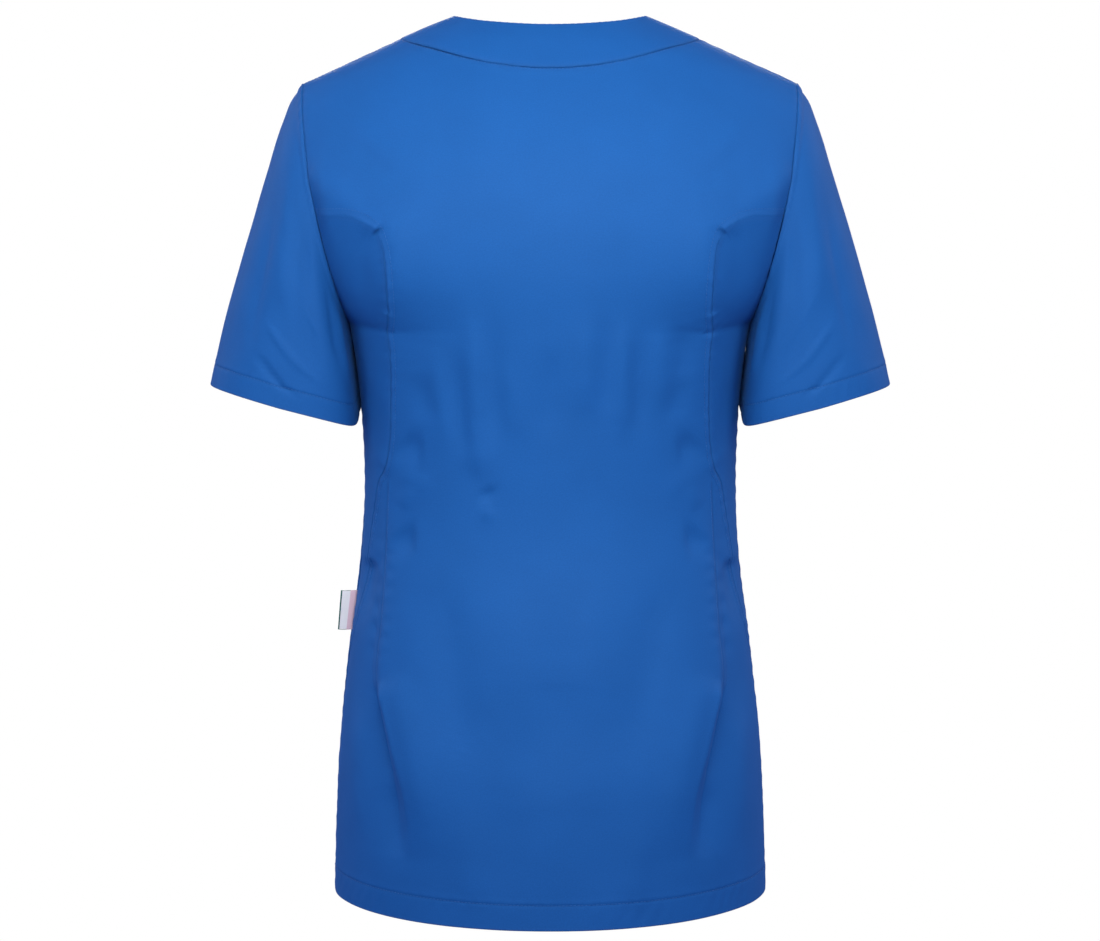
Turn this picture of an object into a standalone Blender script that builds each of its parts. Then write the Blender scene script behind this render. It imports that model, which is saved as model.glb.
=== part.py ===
"""A short-sleeved women's scrub top, filled out as it is worn, with no wearer.

The front faces -Y and the back +Y, +Z is up, and +X is the wearer's left. The origin is the middle of the shoulder line,
where the wearer's shoulders carry the top. Sizes below are in millimetres, and the meshes are made in metres.

Each half of the body is one smooth surface: level lines that run from the centre out to the side seam or to the armhole.
A sleeve is a row of rings from the armhole to the cuff. Panels are cut out of these surfaces along their seams, and every
panel is a wall with an outer and an inner skin.
"""

import math

import bmesh
import bpy
import numpy as np
from mathutils.geometry import delaunay_2d_cdt

for old in list(bpy.data.objects):
    bpy.data.objects.remove(old, do_unlink=True)

MM = 0.001
BACK, FRONT = 0, 1

# ---- Cloth ----
CLOTH = 1.2  # wall of one layer
HEM_WALL = 2.1  # wall where the edge is turned up
HEM_DEEP = 20.0  # height of the turned-up body hem
CUFF_DEEP = 17.0  # height of the turned-up sleeve hem
HEM_STEP = 3.0  # length over which the wall goes from one thickness to the other
BAND_WALL = 2.4  # the doubled neckband
BAND_PROUD = 1.3  # how far the band stands out from the body's surface
SEAM_GAP = 0.32  # between two pieces at a seam
MESH_WIDE = 24.0  # spacing of the panel's points across
MESH_HIGH = 23.0  # and along
MESH_KEEP = 9.5  # the least distance between them
HEM_POINTS = 14  # along half the hem
ARM_STEP = 11.25  # degrees between points round the armhole and the sleeve
BAND_ROWS = 4  # across the neckband
NECK_POINTS = 9  # along half the neck seam at the back
V_POINTS = 11  # and along each side of the V

# ---- Shoulders and neck ----
NECK_WIDE, NECK_DEEP = 118.4, 72.0  # neck seam at the back, half its width and its depth behind the shoulder line
COLLAR_WIDE, COLLAR_DEEP = 75.5, 45.0  # the band's upper edge
V_SEAM = 250.0  # how far the neck seam's point lies below the shoulder line at the front
V_EDGE = 150.0  # and the band's edge
V_BOW = 1.12  # 1 is a straight V

# ---- Underarm ----
UNDERARM = -224.0
UNDERARM_WIDE = 160.0


def columns(names, *rows):
    """The columns of a table whose rows start with a label, by name."""
    return {
        name: np.array([row[i + 1] for row in rows], float)
        for i, name in enumerate(names.split())
    }


SIDE_SEAM = columns(
    "z half_wide",
    ("hem", -677, 172.2),
    ("low hip", -610, 170.3),
    ("hip", -540, 166.3),
    ("high hip", -470, 158.8),
    ("below waist", -410, 151.2),
    ("waist", -352, 148.2),
    ("rib", -300, 150.2),
    ("under the sleeve", -260, 153.8),
    ("underarm", UNDERARM, UNDERARM_WIDE),
)

# height: of the centre line. side_z: where the level meets the side seam. arm: or the armhole, in degrees from its top.
# deep: the centre line's distance from the shoulder line. first: how far the level runs straight out from the centre,
# as a share of its width. corner: where the tangents of its two ends meet. full: how far it bulges towards that corner.
# drop: how much of the level's fall comes there.
LEVEL = "height side_z arm deep first corner full drop"
LEVELS = {
    BACK: columns(
        LEVEL,
        ("hem", -693, -677, 180, 131, 0.60, 1.00, 0.60, 0.45),
        ("low hip", -620, -610, 180, 131, 0.60, 1.00, 0.60, 0.40),
        ("hip", -545, -540, 180, 126, 0.60, 1.00, 0.60, 0.30),
        ("high hip", -470, -467, 180, 115, 0.59, 1.00, 0.59, 0.30),
        ("waist", -385, -384, 180, 101, 0.58, 1.00, 0.58, 0.30),
        ("rib", -310, -310, 180, 103, 0.58, 1.00, 0.58, 0.30),
        ("underarm", -232, UNDERARM, 180, 114, 0.58, 1.00, 0.58, 0.30),
        ("low blade", -185, UNDERARM, 138, 119, 0.55, 0.93, 0.59, 0.30),
        ("blade", -140, UNDERARM, 108, 117, 0.50, 0.83, 0.60, 0.30),
        ("high blade", -98, UNDERARM, 80, 107, 0.45, 0.73, 0.62, 0.30),
        ("yoke", -60, UNDERARM, 56, 91, 0.40, 0.66, 0.66, 0.31),
        ("neck seam", -26, UNDERARM, 36, 72, 0.34, 0.60, 0.74, 0.33),
        ("collar", 9, UNDERARM, 17, 45, 0.31, 0.55, 0.86, 0.37),
        ("shoulder line", 32, UNDERARM, 0, 0, 0.33, 0.52, 0.98, 0.41),
    ),
    FRONT: columns(
        LEVEL,
        ("hem", -690, -677, 180, 136, 0.61, 1.00, 0.61, 0.45),
        ("low hip", -618, -610, 180, 135, 0.61, 1.00, 0.61, 0.40),
        ("hip", -545, -540, 180, 131, 0.61, 1.00, 0.61, 0.30),
        ("high hip", -470, -467, 180, 124, 0.61, 1.00, 0.61, 0.30),
        ("waist", -385, -384, 180, 117, 0.60, 1.00, 0.60, 0.30),
        ("rib", -310, -310, 180, 122, 0.60, 1.00, 0.60, 0.30),
        ("underarm", -232, UNDERARM, 180, 134, 0.60, 1.00, 0.60, 0.30),
        ("low chest", -187, UNDERARM, 138, 132, 0.58, 0.94, 0.62, 0.30),
        ("chest", -142, UNDERARM, 108, 121, 0.52, 0.86, 0.62, 0.30),
        ("high chest", -100, UNDERARM, 80, 104, 0.47, 0.76, 0.63, 0.30),
        ("collarbone", -60, UNDERARM, 56, 83, 0.41, 0.68, 0.66, 0.31),
        ("throat", -26, UNDERARM, 36, 62, 0.34, 0.61, 0.74, 0.33),
        ("collar", 7, UNDERARM, 17, 38, 0.31, 0.56, 0.86, 0.37),
        ("shoulder line", 32, UNDERARM, 0, 0, 0.33, 0.52, 0.98, 0.41),
    ),
}
for _table in LEVELS.values():  # up: each level's distance up the centre line from the hem
    _steps = np.hypot(np.diff(_table["height"]), np.diff(_table["deep"]))
    _table["up"] = np.concatenate([[0.0], np.cumsum(_steps)])
TOP = {face: float(LEVELS[face]["up"][-1]) for face in LEVELS}
UNDERARM_ROW = 6

# along: share of the way down the sleeve. over_, under_: the ring's points over and under the arm. middle: its centre
# in Y. deep: half its depth. bulge: how far its front and back stand out from the line between those two points.
# egg: how much wider it is below than above. square: 1 is round under the arm, more is flatter against the body. tip: how
# much lower its back is than its front, halved. lean: how far it swells towards the body in front of the underarm.
TIP_TURN = 0.35  # how soon the tip comes, away from the two points
LEAN_AT, LEAN_WIDE = 206.0, 22.0  # degrees round the ring
RINGS = columns(
    "along over_x over_z under_x under_z middle deep bulge egg square tip lean",
    ("armhole", 0.00, 196.0, -34.3, 160.0, -224.0, 2, 59, 7.0, 0.10, 1.00, 0.0, 0.0),
    ("cap", 0.13, 211.4, -64.0, 159.1, -233.5, 2, 61, 6.0, 0.09, 1.10, 0.0, 0.0),
    ("upper arm", 0.28, 223.8, -102.0, 157.6, -244.5, 2, 62, 4.5, 0.07, 1.25, 0.5, 0.8),
    ("arm", 0.44, 235.7, -141.0, 156.0, -256.5, 2, 63, 3.0, 0.05, 1.40, 2.0, 2.0),
    ("low arm", 0.60, 247.2, -179.5, 154.7, -268.0, 1, 63, 1.5, 0.03, 1.50, 4.0, 2.8),
    ("above hem", 0.77, 258.4, -220.0, 153.6, -280.5, 1, 62, 0.5, 0.00, 1.50, 6.0, 3.2),
    ("cuff", 1.00, 271.0, -273.5, 152.6, -297.0, 0, 61, 0.0, 0.00, 1.50, 7.0, 3.2),
)

# The curved seam between the centre back and the side back, from the armhole round and down to the side seam.
PRINCESS = columns(
    "across up",
    ("armhole", 1.000, 574),
    ("over the blade", 0.843, 570),
    ("level", 0.745, 567),
    ("turning", 0.657, 561),
    ("corner", 0.592, 552),
    ("below the corner", 0.560, 538),
    ("blade", 0.547, 524),
    ("low blade", 0.544, 506),
    ("chest", 0.549, 480),
    ("rib", 0.563, 446),
    ("low rib", 0.595, 414),
    ("above waist", 0.632, 377),
    ("waist", 0.664, 357),
    ("bend", 0.722, 346),
    ("below waist", 0.760, 326),
    ("flank", 0.808, 296),
    ("low flank", 0.840, 268),
    ("end of flank", 0.880, 238),
    ("side seam", 1.000, 196),
)

# Along the curved seam the body turns from the back to the side, so the cloth stands out there: how far, by height.
CREASE = columns(
    "z out",
    ("rib", -330, 0.0),
    ("underarm", -250, 3.4),
    ("low blade", -215, 6.4),
    ("blade", -180, 8.0),
    ("below the corner", -158, 7.4),
    ("level part", -145, 5.4),
    ("above it", -120, 0.0),
)
CREASE_IN, CREASE_OUT = 74.0, 46.0  # how far it reaches towards the centre, and towards the side
CREASE_CLEAR = 26.0  # it fades this far from the armhole and the side seam

# The tuck sewn into each half of the back, and the fold that opens below it: where it is, how much the cloth stands out
# on its centre side and sinks on its outer side.
TUCK = columns(
    "z x out sink",
    ("top", -352, 127.5, 0.0, 0.0),
    ("upper", -400, 129.5, 1.2, 0.8),
    ("lower", -460, 133.0, 1.8, 1.6),
    ("end of stitching", -508, 135.5, 3.2, 3.0),
    ("fold", -536, 128.6, 4.0, 4.0),
    ("open fold", -560, 123.0, 4.2, 4.2),
    ("low fold", -592, 116.6, 3.4, 3.4),
    ("gone", -640, 113.0, 0.0, 0.0),
)
# The side label: a small folded tag that stands out of the left side seam.
LABEL = {"top": -438.4, "low": -470.4, "out_top": 167.2, "out_low": 169.8, "clear": 0.45, "wall": 1.0}
BLUE = (0.018, 0.130, 0.470)
SLEEVE_LONG = 160.0  # the sleeve's mean length

TUCK_STEP = 5.0  # from the line to its crest, and to its trough
TUCK_REACH = 42.0  # how far the swell goes on from there


# ---- Smooth lines through a table ----
def slopes(xs, ys, end):
    steps = np.diff(ys) / np.diff(xs)
    out = np.empty(len(xs))
    gaps = np.diff(xs)
    out[1:-1] = (steps[:-1] * gaps[1:] + steps[1:] * gaps[:-1]) / (gaps[:-1] + gaps[1:])
    out[0] = 1.5 * steps[0] - 0.5 * out[1]
    out[-1] = {"free": 1.5 * steps[-1] - 0.5 * out[-2], "level": 0.0, "straight": steps[-1]}[end]
    return out


def smooth(x, xs, ys, end="free"):
    """The value at x of the smooth line through the points (xs, ys)."""
    x = np.clip(np.asarray(x, float), xs[0], xs[-1])
    i = np.clip(np.searchsorted(xs, x, side="right") - 1, 0, len(xs) - 2)
    gap = xs[i + 1] - xs[i]
    f = (x - xs[i]) / gap
    m = slopes(xs, ys, end)
    return (
        ys[i] * (1 + 2 * f) * (1 - f) ** 2
        + m[i] * gap * f * (1 - f) ** 2
        + ys[i + 1] * f * f * (3 - 2 * f)
        - m[i + 1] * gap * f * f * (1 - f)
    )


def vectors(x, y, z):
    return np.stack(np.broadcast_arrays(x, y, z), axis=-1).astype(float)


def unit(v):
    return v / np.maximum(np.linalg.norm(v, axis=-1, keepdims=True), 1e-12)


# ---- Sleeve and armhole ----
def sleeve(along, angle):
    """A point of the left sleeve; angle 0 is over the arm, 90 degrees its back, 180 under it."""
    along, angle = np.broadcast_arrays(np.asarray(along, float), np.radians(angle))
    ring = {
        key: smooth(along, RINGS["along"], RINGS[key])
        for key in RINGS
        if key != "along"
    }
    c, s = np.cos(angle), np.sin(angle)
    over = vectors(ring["over_x"], 0, ring["over_z"])
    under = vectors(ring["under_x"], 0, ring["under_z"])
    chord = unit(over - under)
    outward = vectors(chord[..., 2], 0, -chord[..., 0])
    flatter = np.where(c < 0, np.maximum(1 + c, 0) ** ring["square"] - 1, c)
    point = (over + under) / 2 + (over - under) / 2 * flatter[..., None]
    point = point + outward * (ring["bulge"] * s * s)[..., None]
    point[..., 1] += ring["middle"] + ring["deep"] * s * (1 - ring["egg"] * c)
    point[..., 2] -= ring["tip"] * (1 - 0.75 * c) * s * math.hypot(1, TIP_TURN) / np.hypot(s, TIP_TURN)
    turn = (np.mod(np.degrees(angle) - LEAN_AT + 180.0, 360.0) - 180.0) / LEAN_WIDE
    point[..., 0] -= ring["lean"] * np.exp(-turn * turn)
    return point + sleeve_folds(along, np.degrees(angle))


def sleeve_folds(along, angle):
    """The sleeve's two largest folds: soft creases that run down it, one behind and one in front."""
    out = np.zeros(np.shape(along) + (3,))
    for centre, deep, wide in ((38.0, 2.6, 15.0), (-42.0, 2.0, 16.0)):
        turn = (np.mod(angle - centre + 180.0, 360.0) - 180.0) / wide
        fade = np.clip((along - 0.25) / 0.3, 0, 1) * np.clip((0.97 - along) / 0.2, 0, 1)
        out[..., 0] -= deep * np.exp(-turn * turn) * fade
    return out


def sleeve_normal(along, angle):
    lo, hi = np.clip(along - 0.004, 0, 1), np.clip(along + 0.004, 0, 1)
    down = sleeve(hi, angle) - sleeve(lo, angle)
    round_ = sleeve(along, angle + 0.5) - sleeve(along, angle - 0.5)
    return unit(np.cross(down, round_))


# ---- Body ----
def level_values(face, up):
    """Each column at this distance up; they all level out at the shoulder line, so front and back meet in one curve."""
    table = LEVELS[face]
    out = {key: smooth(up, table["up"], table[key], "level") for key in ("height", "first", "corner", "full", "drop")}
    out["deep"] = smooth(up, table["up"], table["deep"], "straight")
    return out


def edge(face, up):
    """The outer end of a level: on the side seam, or above it on the armhole."""
    up = np.asarray(up, float)
    table, row = LEVELS[face], UNDERARM_ROW
    low = table["up"][row]
    side_z = smooth(np.minimum(up, low), table["up"][: row + 1], table["side_z"][: row + 1])
    side = vectors(smooth(side_z, SIDE_SEAM["z"], SIDE_SEAM["half_wide"]), 0, side_z)
    hole = sleeve(np.zeros_like(up), armhole_angle(face, up))
    return np.where((up <= low)[..., None], side, hole)


def armhole_angle(face, up):
    table, row = LEVELS[face], UNDERARM_ROW
    turn = smooth(up, table["up"][row:], table["arm"][row:], "straight")
    return turn if face == BACK else -turn


def body_shape(face, across, up):
    """A point of the body before its folds; across goes from -1, the wearer's right, to 1."""
    across, up = np.broadcast_arrays(np.asarray(across, float), np.asarray(up, float))
    w = np.abs(across)[..., None]
    v = level_values(face, up)
    deep, high = v["deep"] if face == BACK else -v["deep"], v["height"]
    end = edge(face, up)
    middle = vectors(0, deep, high)
    one = vectors(end[..., 0] * v["first"], deep, high)
    corner = vectors(end[..., 0] * v["corner"], deep, high + (end[..., 2] - high) * v["drop"])
    two = end + (corner - end) * v["full"][..., None]
    point = middle * (1 - w) ** 3 + one * 3 * w * (1 - w) ** 2 + two * 3 * w * w * (1 - w) + end * w**3
    point[..., 0] *= np.where(across < 0, -1, 1)
    return point


def tuck_lift(point):
    """How far the cloth stands out beside the sewn tuck of the back and the fold below it."""
    z = point[..., 2]
    order = slice(None, None, -1)
    zs = TUCK["z"][order]
    line = smooth(z, zs, TUCK["x"][order])
    out = smooth(z, zs, TUCK["out"][order])
    sink = smooth(z, zs, TUCK["sink"][order])
    inside = (z > zs[0]) & (z < zs[-1])
    away = np.abs(point[..., 0]) - line
    crest = np.where(away < -TUCK_STEP, np.exp(-(((-away - TUCK_STEP) / TUCK_REACH) ** 2)), 1.0)
    trough = np.where(away > TUCK_STEP, np.exp(-(((away - TUCK_STEP) / (TUCK_REACH * 0.45)) ** 2)), 1.0)
    step = np.clip(away / TUCK_STEP, -1, 1)
    lift = np.where(step < 0, -step * out * crest, -step * sink * trough)
    return np.where(inside, lift, 0.0)


def seam_line():
    """Points of the curved seam of the left half."""
    line = PRINCESS
    run = np.concatenate([[0], np.cumsum(np.hypot(np.diff(line["across"]) * 200, np.diff(line["up"])))])
    at = np.linspace(0, run[-1], 60)
    return body_shape(BACK, smooth(at, run, line["across"]), smooth(at, run, line["up"]))


def crease_lift(point, across):
    """How far the cloth of the back stands out beside the curved seam."""
    line = CREASE_LINE
    p = point.reshape(-1, 3) * (1, 1, 1)
    p[:, 0] = np.abs(p[:, 0])
    gaps = np.linalg.norm(p[:, None] - line[None], axis=-1)
    k = gaps.argmin(1)
    last = len(line) - 1
    d = gaps[np.arange(len(p)), k]
    for other in (np.maximum(k - 1, 0), np.minimum(k + 1, last)):
        step = line[other] - line[k]
        size = np.maximum((step * step).sum(1), 1e-9)
        t = np.clip(((p - line[k]) * step).sum(1) / size, 0, 1)
        d = np.minimum(d, np.linalg.norm(p - line[k] - t[:, None] * step, axis=1))
    tangent = line[np.minimum(k + 1, last)] - line[np.maximum(k - 1, 0)]
    rel = p - line[k]
    outer = tangent[:, 0] * rel[:, 2] - tangent[:, 2] * rel[:, 0] > 0
    out = smooth(line[k, 2], CREASE["z"], CREASE["out"])
    share = np.clip(1 - d / np.where(outer, CREASE_OUT, CREASE_IN), 0, 1)
    clear = np.clip((1 - np.abs(np.ravel(across))) * 175.0 / CREASE_CLEAR, 0, 1)
    clear = clear * clear * (3 - 2 * clear)
    return (np.maximum(out, 0) * share * share * clear).reshape(point.shape[:-1])


def raw_normal(shape, face, across, up):
    a0, a1 = np.clip(across - 0.004, -1, 1), np.clip(across + 0.004, -1, 1)
    u0, u1 = np.clip(up - 0.6, 0, TOP[face]), np.clip(up + 0.6, 0, TOP[face])
    sideways = shape(face, a1, up) - shape(face, a0, up)
    rise = shape(face, across, u1) - shape(face, across, u0)
    n = np.cross(rise, sideways) if face == BACK else np.cross(sideways, rise)
    return unit(n)


def body(face, across, up):
    across, up = np.broadcast_arrays(np.asarray(across, float), np.asarray(up, float))
    point = body_shape(face, across, up)
    if face == BACK:
        lift = tuck_lift(point) + crease_lift(point, across)
        if np.any(lift != 0):
            point = point + raw_normal(body_shape, face, across, up) * lift[..., None]
    return point


CREASE_LINE = seam_line()


def body_normal(face, across, up):
    return raw_normal(body, face, across, up)


def half_length(face, up):
    """The length of a level from the centre to its end."""
    w = np.linspace(0, 1, 17)
    line = body_shape(face, w, np.asarray(up, float)[..., None])
    return np.linalg.norm(np.diff(line, axis=-2), axis=-1).sum(-1)


def place(face, axes, target, start):
    """(across, up) of the point whose coordinates along the two axes are the target."""
    guess = np.array(start, float)
    axes = list(axes)
    for _ in range(60):
        here = body_shape(face, guess[0], guess[1])[axes]
        miss = np.array(target) - here
        if np.abs(miss).max() < 1e-7:
            break
        da = 1e-4 if guess[0] < 0.5 else -1e-4
        du = 1e-2 if guess[1] < TOP[face] / 2 else -1e-2
        ja = (body_shape(face, guess[0] + da, guess[1])[axes] - here) / da
        ju = (body_shape(face, guess[0], guess[1] + du)[axes] - here) / du
        step = np.linalg.solve(np.column_stack([ja, ju]), miss)
        step *= min(1.0, 0.15 / max(abs(step[0]), 1e-9), 25.0 / max(abs(step[1]), 1e-9))
        guess = guess + step
        guess[0] = min(max(guess[0], 0.0), 1.0)
        guess[1] = min(max(guess[1], 0.0), TOP[face])
    return guess


# ---- Seams, each a list of (across, up) ----
def on_shoulder(x):
    """across of the shoulder line's point at x."""
    w = np.linspace(0, 1, 400)
    return float(np.interp(x, body_shape(BACK, w, np.full(400, TOP[BACK]))[:, 0], w))


def neck_seam(wide, deep, count):
    """At the back, from the centre to the shoulder line."""
    out, last = [], (0.0, float(LEVELS[BACK]["up"][-3]))
    for k in range(count):
        turn = math.radians(90.0 * k / count)
        last = place(BACK, (0, 1), (wide * math.sin(turn), deep * math.cos(turn)), last)
        out.append(tuple(last))
    return out + [(on_shoulder(wide), TOP[BACK])]


def v_seam(wide, depth, count):
    """At the front, from the point of the V to the shoulder line."""
    top = float(body_shape(FRONT, on_shoulder(wide), TOP[FRONT])[2])
    out, last = [], (0.0, float(level_at_centre(FRONT, -depth)))
    for k in range(count):
        share = 1 - k / count
        last = place(FRONT, (0, 2), (wide * (1 - share**V_BOW), top + (-depth - top) * share), last)
        out.append(tuple(last))
    return out + [(on_shoulder(wide), TOP[FRONT])]


def level_at_centre(face, z):
    """The level whose centre is at this height."""
    ups = np.linspace(0, TOP[face], 1200)
    return float(np.interp(z, level_values(face, ups)["height"], ups))


def level_at_side(face, z):
    """The level that ends at z on the side seam."""
    ups = np.linspace(0, LEVELS[face]["up"][UNDERARM_ROW], 600)
    return float(np.interp(z, edge(face, ups)[:, 2], ups))


def level_at_arm(face, angle):
    """The level that ends at this angle of the armhole."""
    ups = np.linspace(LEVELS[face]["up"][UNDERARM_ROW], TOP[face], 1200)
    return float(np.interp(-angle, -np.abs(armhole_angle(face, ups)), ups))


def princess_seam():
    """From the armhole down to the side seam."""
    line = PRINCESS
    run = np.concatenate([[0], np.cumsum(np.hypot(np.diff(line["across"]) * 200, np.diff(line["up"])))])
    at = np.linspace(0, run[-1], int(run[-1] / 17.0) + 1)
    out = list(zip(smooth(at, run, line["across"]), smooth(at, run, line["up"])))
    out[0], out[-1] = (1.0, out[0][1]), (1.0, out[-1][1])
    return out


# ---- Panels ----
def spread(lo, hi, step):
    count = max(1, round(abs(hi - lo) / step))
    return [lo + (hi - lo) * k / count for k in range(count + 1)]


def side_run(face, z_from, z_to):
    """Points up the side seam, with two at the hem's upper edge."""
    hem_top = SIDE_SEAM["z"][0] + HEM_DEEP
    marks = [z_from] + [z for z in (hem_top, hem_top + HEM_STEP) if z_from < z < z_to] + [z_to]
    zs = []
    for lo, hi in zip(marks, marks[1:]):
        zs += spread(lo, hi, MESH_HIGH)[:-1]
    return [(1.0, level_at_side(face, z)) for z in zs + [z_to]]


def arm_run(face, angle_from, angle_to):
    """Points round the armhole."""
    return [(1.0, level_at_arm(face, a)) for a in spread(angle_from, angle_to, ARM_STEP)]


def join(*runs):
    """One closed outline from runs that share their ends."""
    out = []
    for run in runs:
        for point in run:
            if not out or math.hypot((point[0] - out[-1][0]) * 100, point[1] - out[-1][1]) > 0.05:
                out.append(tuple(map(float, point)))
    if math.hypot((out[0][0] - out[-1][0]) * 100, out[0][1] - out[-1][1]) < 0.05:
        out.pop()
    return out


def mirrored(run):
    return [(-a, u) for a, u in reversed(run)]


def flat(face, across, up):
    """The panel laid out: distance from the centre line, and distance up."""
    return np.stack([np.asarray(across) * half_length(face, up), np.asarray(up, float)], axis=-1)


def inside(loop, points, margin):
    """Which points are inside the outline and at least a margin from it."""
    a, b = loop, np.roll(loop, -1, axis=0)
    ab = b - a
    rel = points[:, None] - a[None]
    t = np.clip((rel * ab).sum(-1) / np.maximum((ab * ab).sum(-1), 1e-9), 0, 1)
    far = np.linalg.norm(rel - t[..., None] * ab, axis=-1).min(1)
    crosses = (a[None, :, 1] > points[:, None, 1]) != (b[None, :, 1] > points[:, None, 1])
    run = ab[:, 0] / np.where(ab[:, 1] == 0, 1e-9, ab[:, 1])
    x = a[None, :, 0] + (points[:, None, 1] - a[None, :, 1]) * run[None]
    return ((crosses & (points[:, None, 0] < x)).sum(1) % 2 == 1) & (far > margin)


def panel_points(face, outline, marks):
    """The panel's points as (across, up), outline first, then its folds and a grid, and its triangles."""
    loop = np.array(outline)
    laid = flat(face, loop[:, 0], loop[:, 1])
    low, high = loop[:, 1].min(), loop[:, 1].max()
    levels = [HEM_DEEP, HEM_DEEP + HEM_STEP] if low < 1 else [low]
    levels += spread(levels[-1], high, MESH_HIGH)[1:-1]
    grid = []
    for k, up in enumerate(levels):
        count = max(2, round(float(half_length(face, up)) / MESH_WIDE))
        shift = 0.5 if k % 2 and k > 2 else 0.0
        grid += [(a, up) for a in (np.arange(-count, count + 1) + shift) / count if abs(a) < 0.999]
    grid, marks = np.array(grid), np.array(marks, float).reshape(-1, 2)
    grid_laid, marks_laid = flat(face, grid[:, 0], grid[:, 1]), flat(face, marks[:, 0], marks[:, 1])
    keep = inside(laid, grid_laid, MESH_KEEP)
    if len(marks):
        keep &= np.linalg.norm(grid_laid[:, None] - marks_laid[None], axis=-1).min(1) > MESH_KEEP
    points = np.vstack([loop, marks, grid[keep]])
    laid = np.vstack([laid, marks_laid, grid_laid[keep]])
    edges = [(i, (i + 1) % len(loop)) for i in range(len(loop))]
    verts, _, faces, origin, _, _ = delaunay_2d_cdt([tuple(p) for p in laid], edges, [], 1, 1e-6)
    if len(verts) != len(points):
        raise ValueError("an outline crosses itself")
    return points, [tuple(origin[i][0] for i in f) for f in faces], len(loop)


def blended(own, other):
    """The normal of a piece at a seam: halfway to its neighbour's, unless the two fold back on each other."""
    dot = (own * other).sum(-1, keepdims=True)
    return unit(own + other * np.clip((dot - 0.1) / 0.5, 0, 1))


def seam_normals(face, points):
    """The outward normals of a panel's points, shared with the next piece along its seams."""
    across, up = points[:, 0], points[:, 1]
    n = body_normal(face, across, up)
    other, low = 1 - face, LEVELS[face]["up"][UNDERARM_ROW]
    for i in range(len(points)):
        if abs(across[i]) > 0.9999 and up[i] < low:
            z = edge(face, up[i])[2]
            n[i] = unit(n[i] + body_normal(other, across[i], level_at_side(other, z)))
        elif abs(across[i]) > 0.9999:
            mate = sleeve_normal(0.0, armhole_angle(face, up[i]))
            n[i] = blended(n[i], mate * (-1.0 if across[i] < 0 else 1.0, 1, 1))
        elif up[i] > TOP[face] - 1e-6:
            n[i] = unit(n[i] + body_normal(other, across[i], TOP[other]))
    return n


def inset(face, points, count, solid, n):
    """The outline drawn in by half the seam gap, square to its edges."""
    loop, laid = solid[:count], flat(face, points[:count, 0], points[:count, 1])
    area = np.sum(laid[:, 0] * np.roll(laid[:, 1], -1) - np.roll(laid[:, 0], -1) * laid[:, 1])
    turn = 1.0 if (area > 0) == (face == FRONT) else -1.0
    out = solid.copy()
    for i in range(count):
        before, after = loop[i] - loop[i - 1], loop[(i + 1) % count] - loop[i]
        d1, d2 = unit(np.cross(n[i], before) * turn), unit(np.cross(n[i], after) * turn)
        out[i] = loop[i] + (d1 + d2) / max(1 + float(d1 @ d2), 0.25) * SEAM_GAP / 2
    return out


def hem_wall(up):
    """The wall's thickness: two layers in the turned-up hem, and one above it."""
    return CLOTH + (HEM_WALL - CLOTH) * np.clip((HEM_DEEP + HEM_STEP - up) / HEM_STEP, 0, 1)


# ---- Meshes ----
def new_object(name, verts, faces, material):
    mesh = bpy.data.meshes.new(name)
    mesh.from_pydata([tuple(v * MM) for v in np.asarray(verts)], [], faces)
    mesh.validate()
    mesh.shade_smooth()
    mesh.set_sharp_from_angle(angle=math.radians(50))
    mesh.materials.append(material)
    obj = bpy.data.objects.new(name, mesh)
    collection.objects.link(obj)
    return obj


def wall(name, outer, inner, triangles, loops, material):
    """A closed wall from two skins with the same triangles, joined along their open edges."""
    count = len(outer)
    faces = [tuple(t) for t in triangles]
    faces += [tuple(i + count for i in reversed(t)) for t in triangles]
    for loop in loops:
        for a, b in zip(loop, loop[1:] + loop[:1]):
            faces.append((b, a, a + count))
            faces.append((b, a + count, b + count))
    return new_object(name, np.vstack([outer, inner]), faces, material)


def cut_panel(name, face, outline, material, marks=()):
    points, triangles, count = panel_points(face, outline, marks)
    normals = seam_normals(face, points)
    outer = inset(face, points, count, body(face, points[:, 0], points[:, 1]), normals)
    inner = outer - normals * hem_wall(points[:, 1])[:, None]
    if face == BACK:
        triangles = [t[::-1] for t in triangles]
    boundary = list(range(count))
    first = next(t for t in triangles if {0, 1} <= set(t))
    if (first.index(1) - first.index(0)) % 3 != 1:
        boundary = boundary[::-1]
    return wall(name, outer, inner, triangles, [boundary], material)


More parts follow.
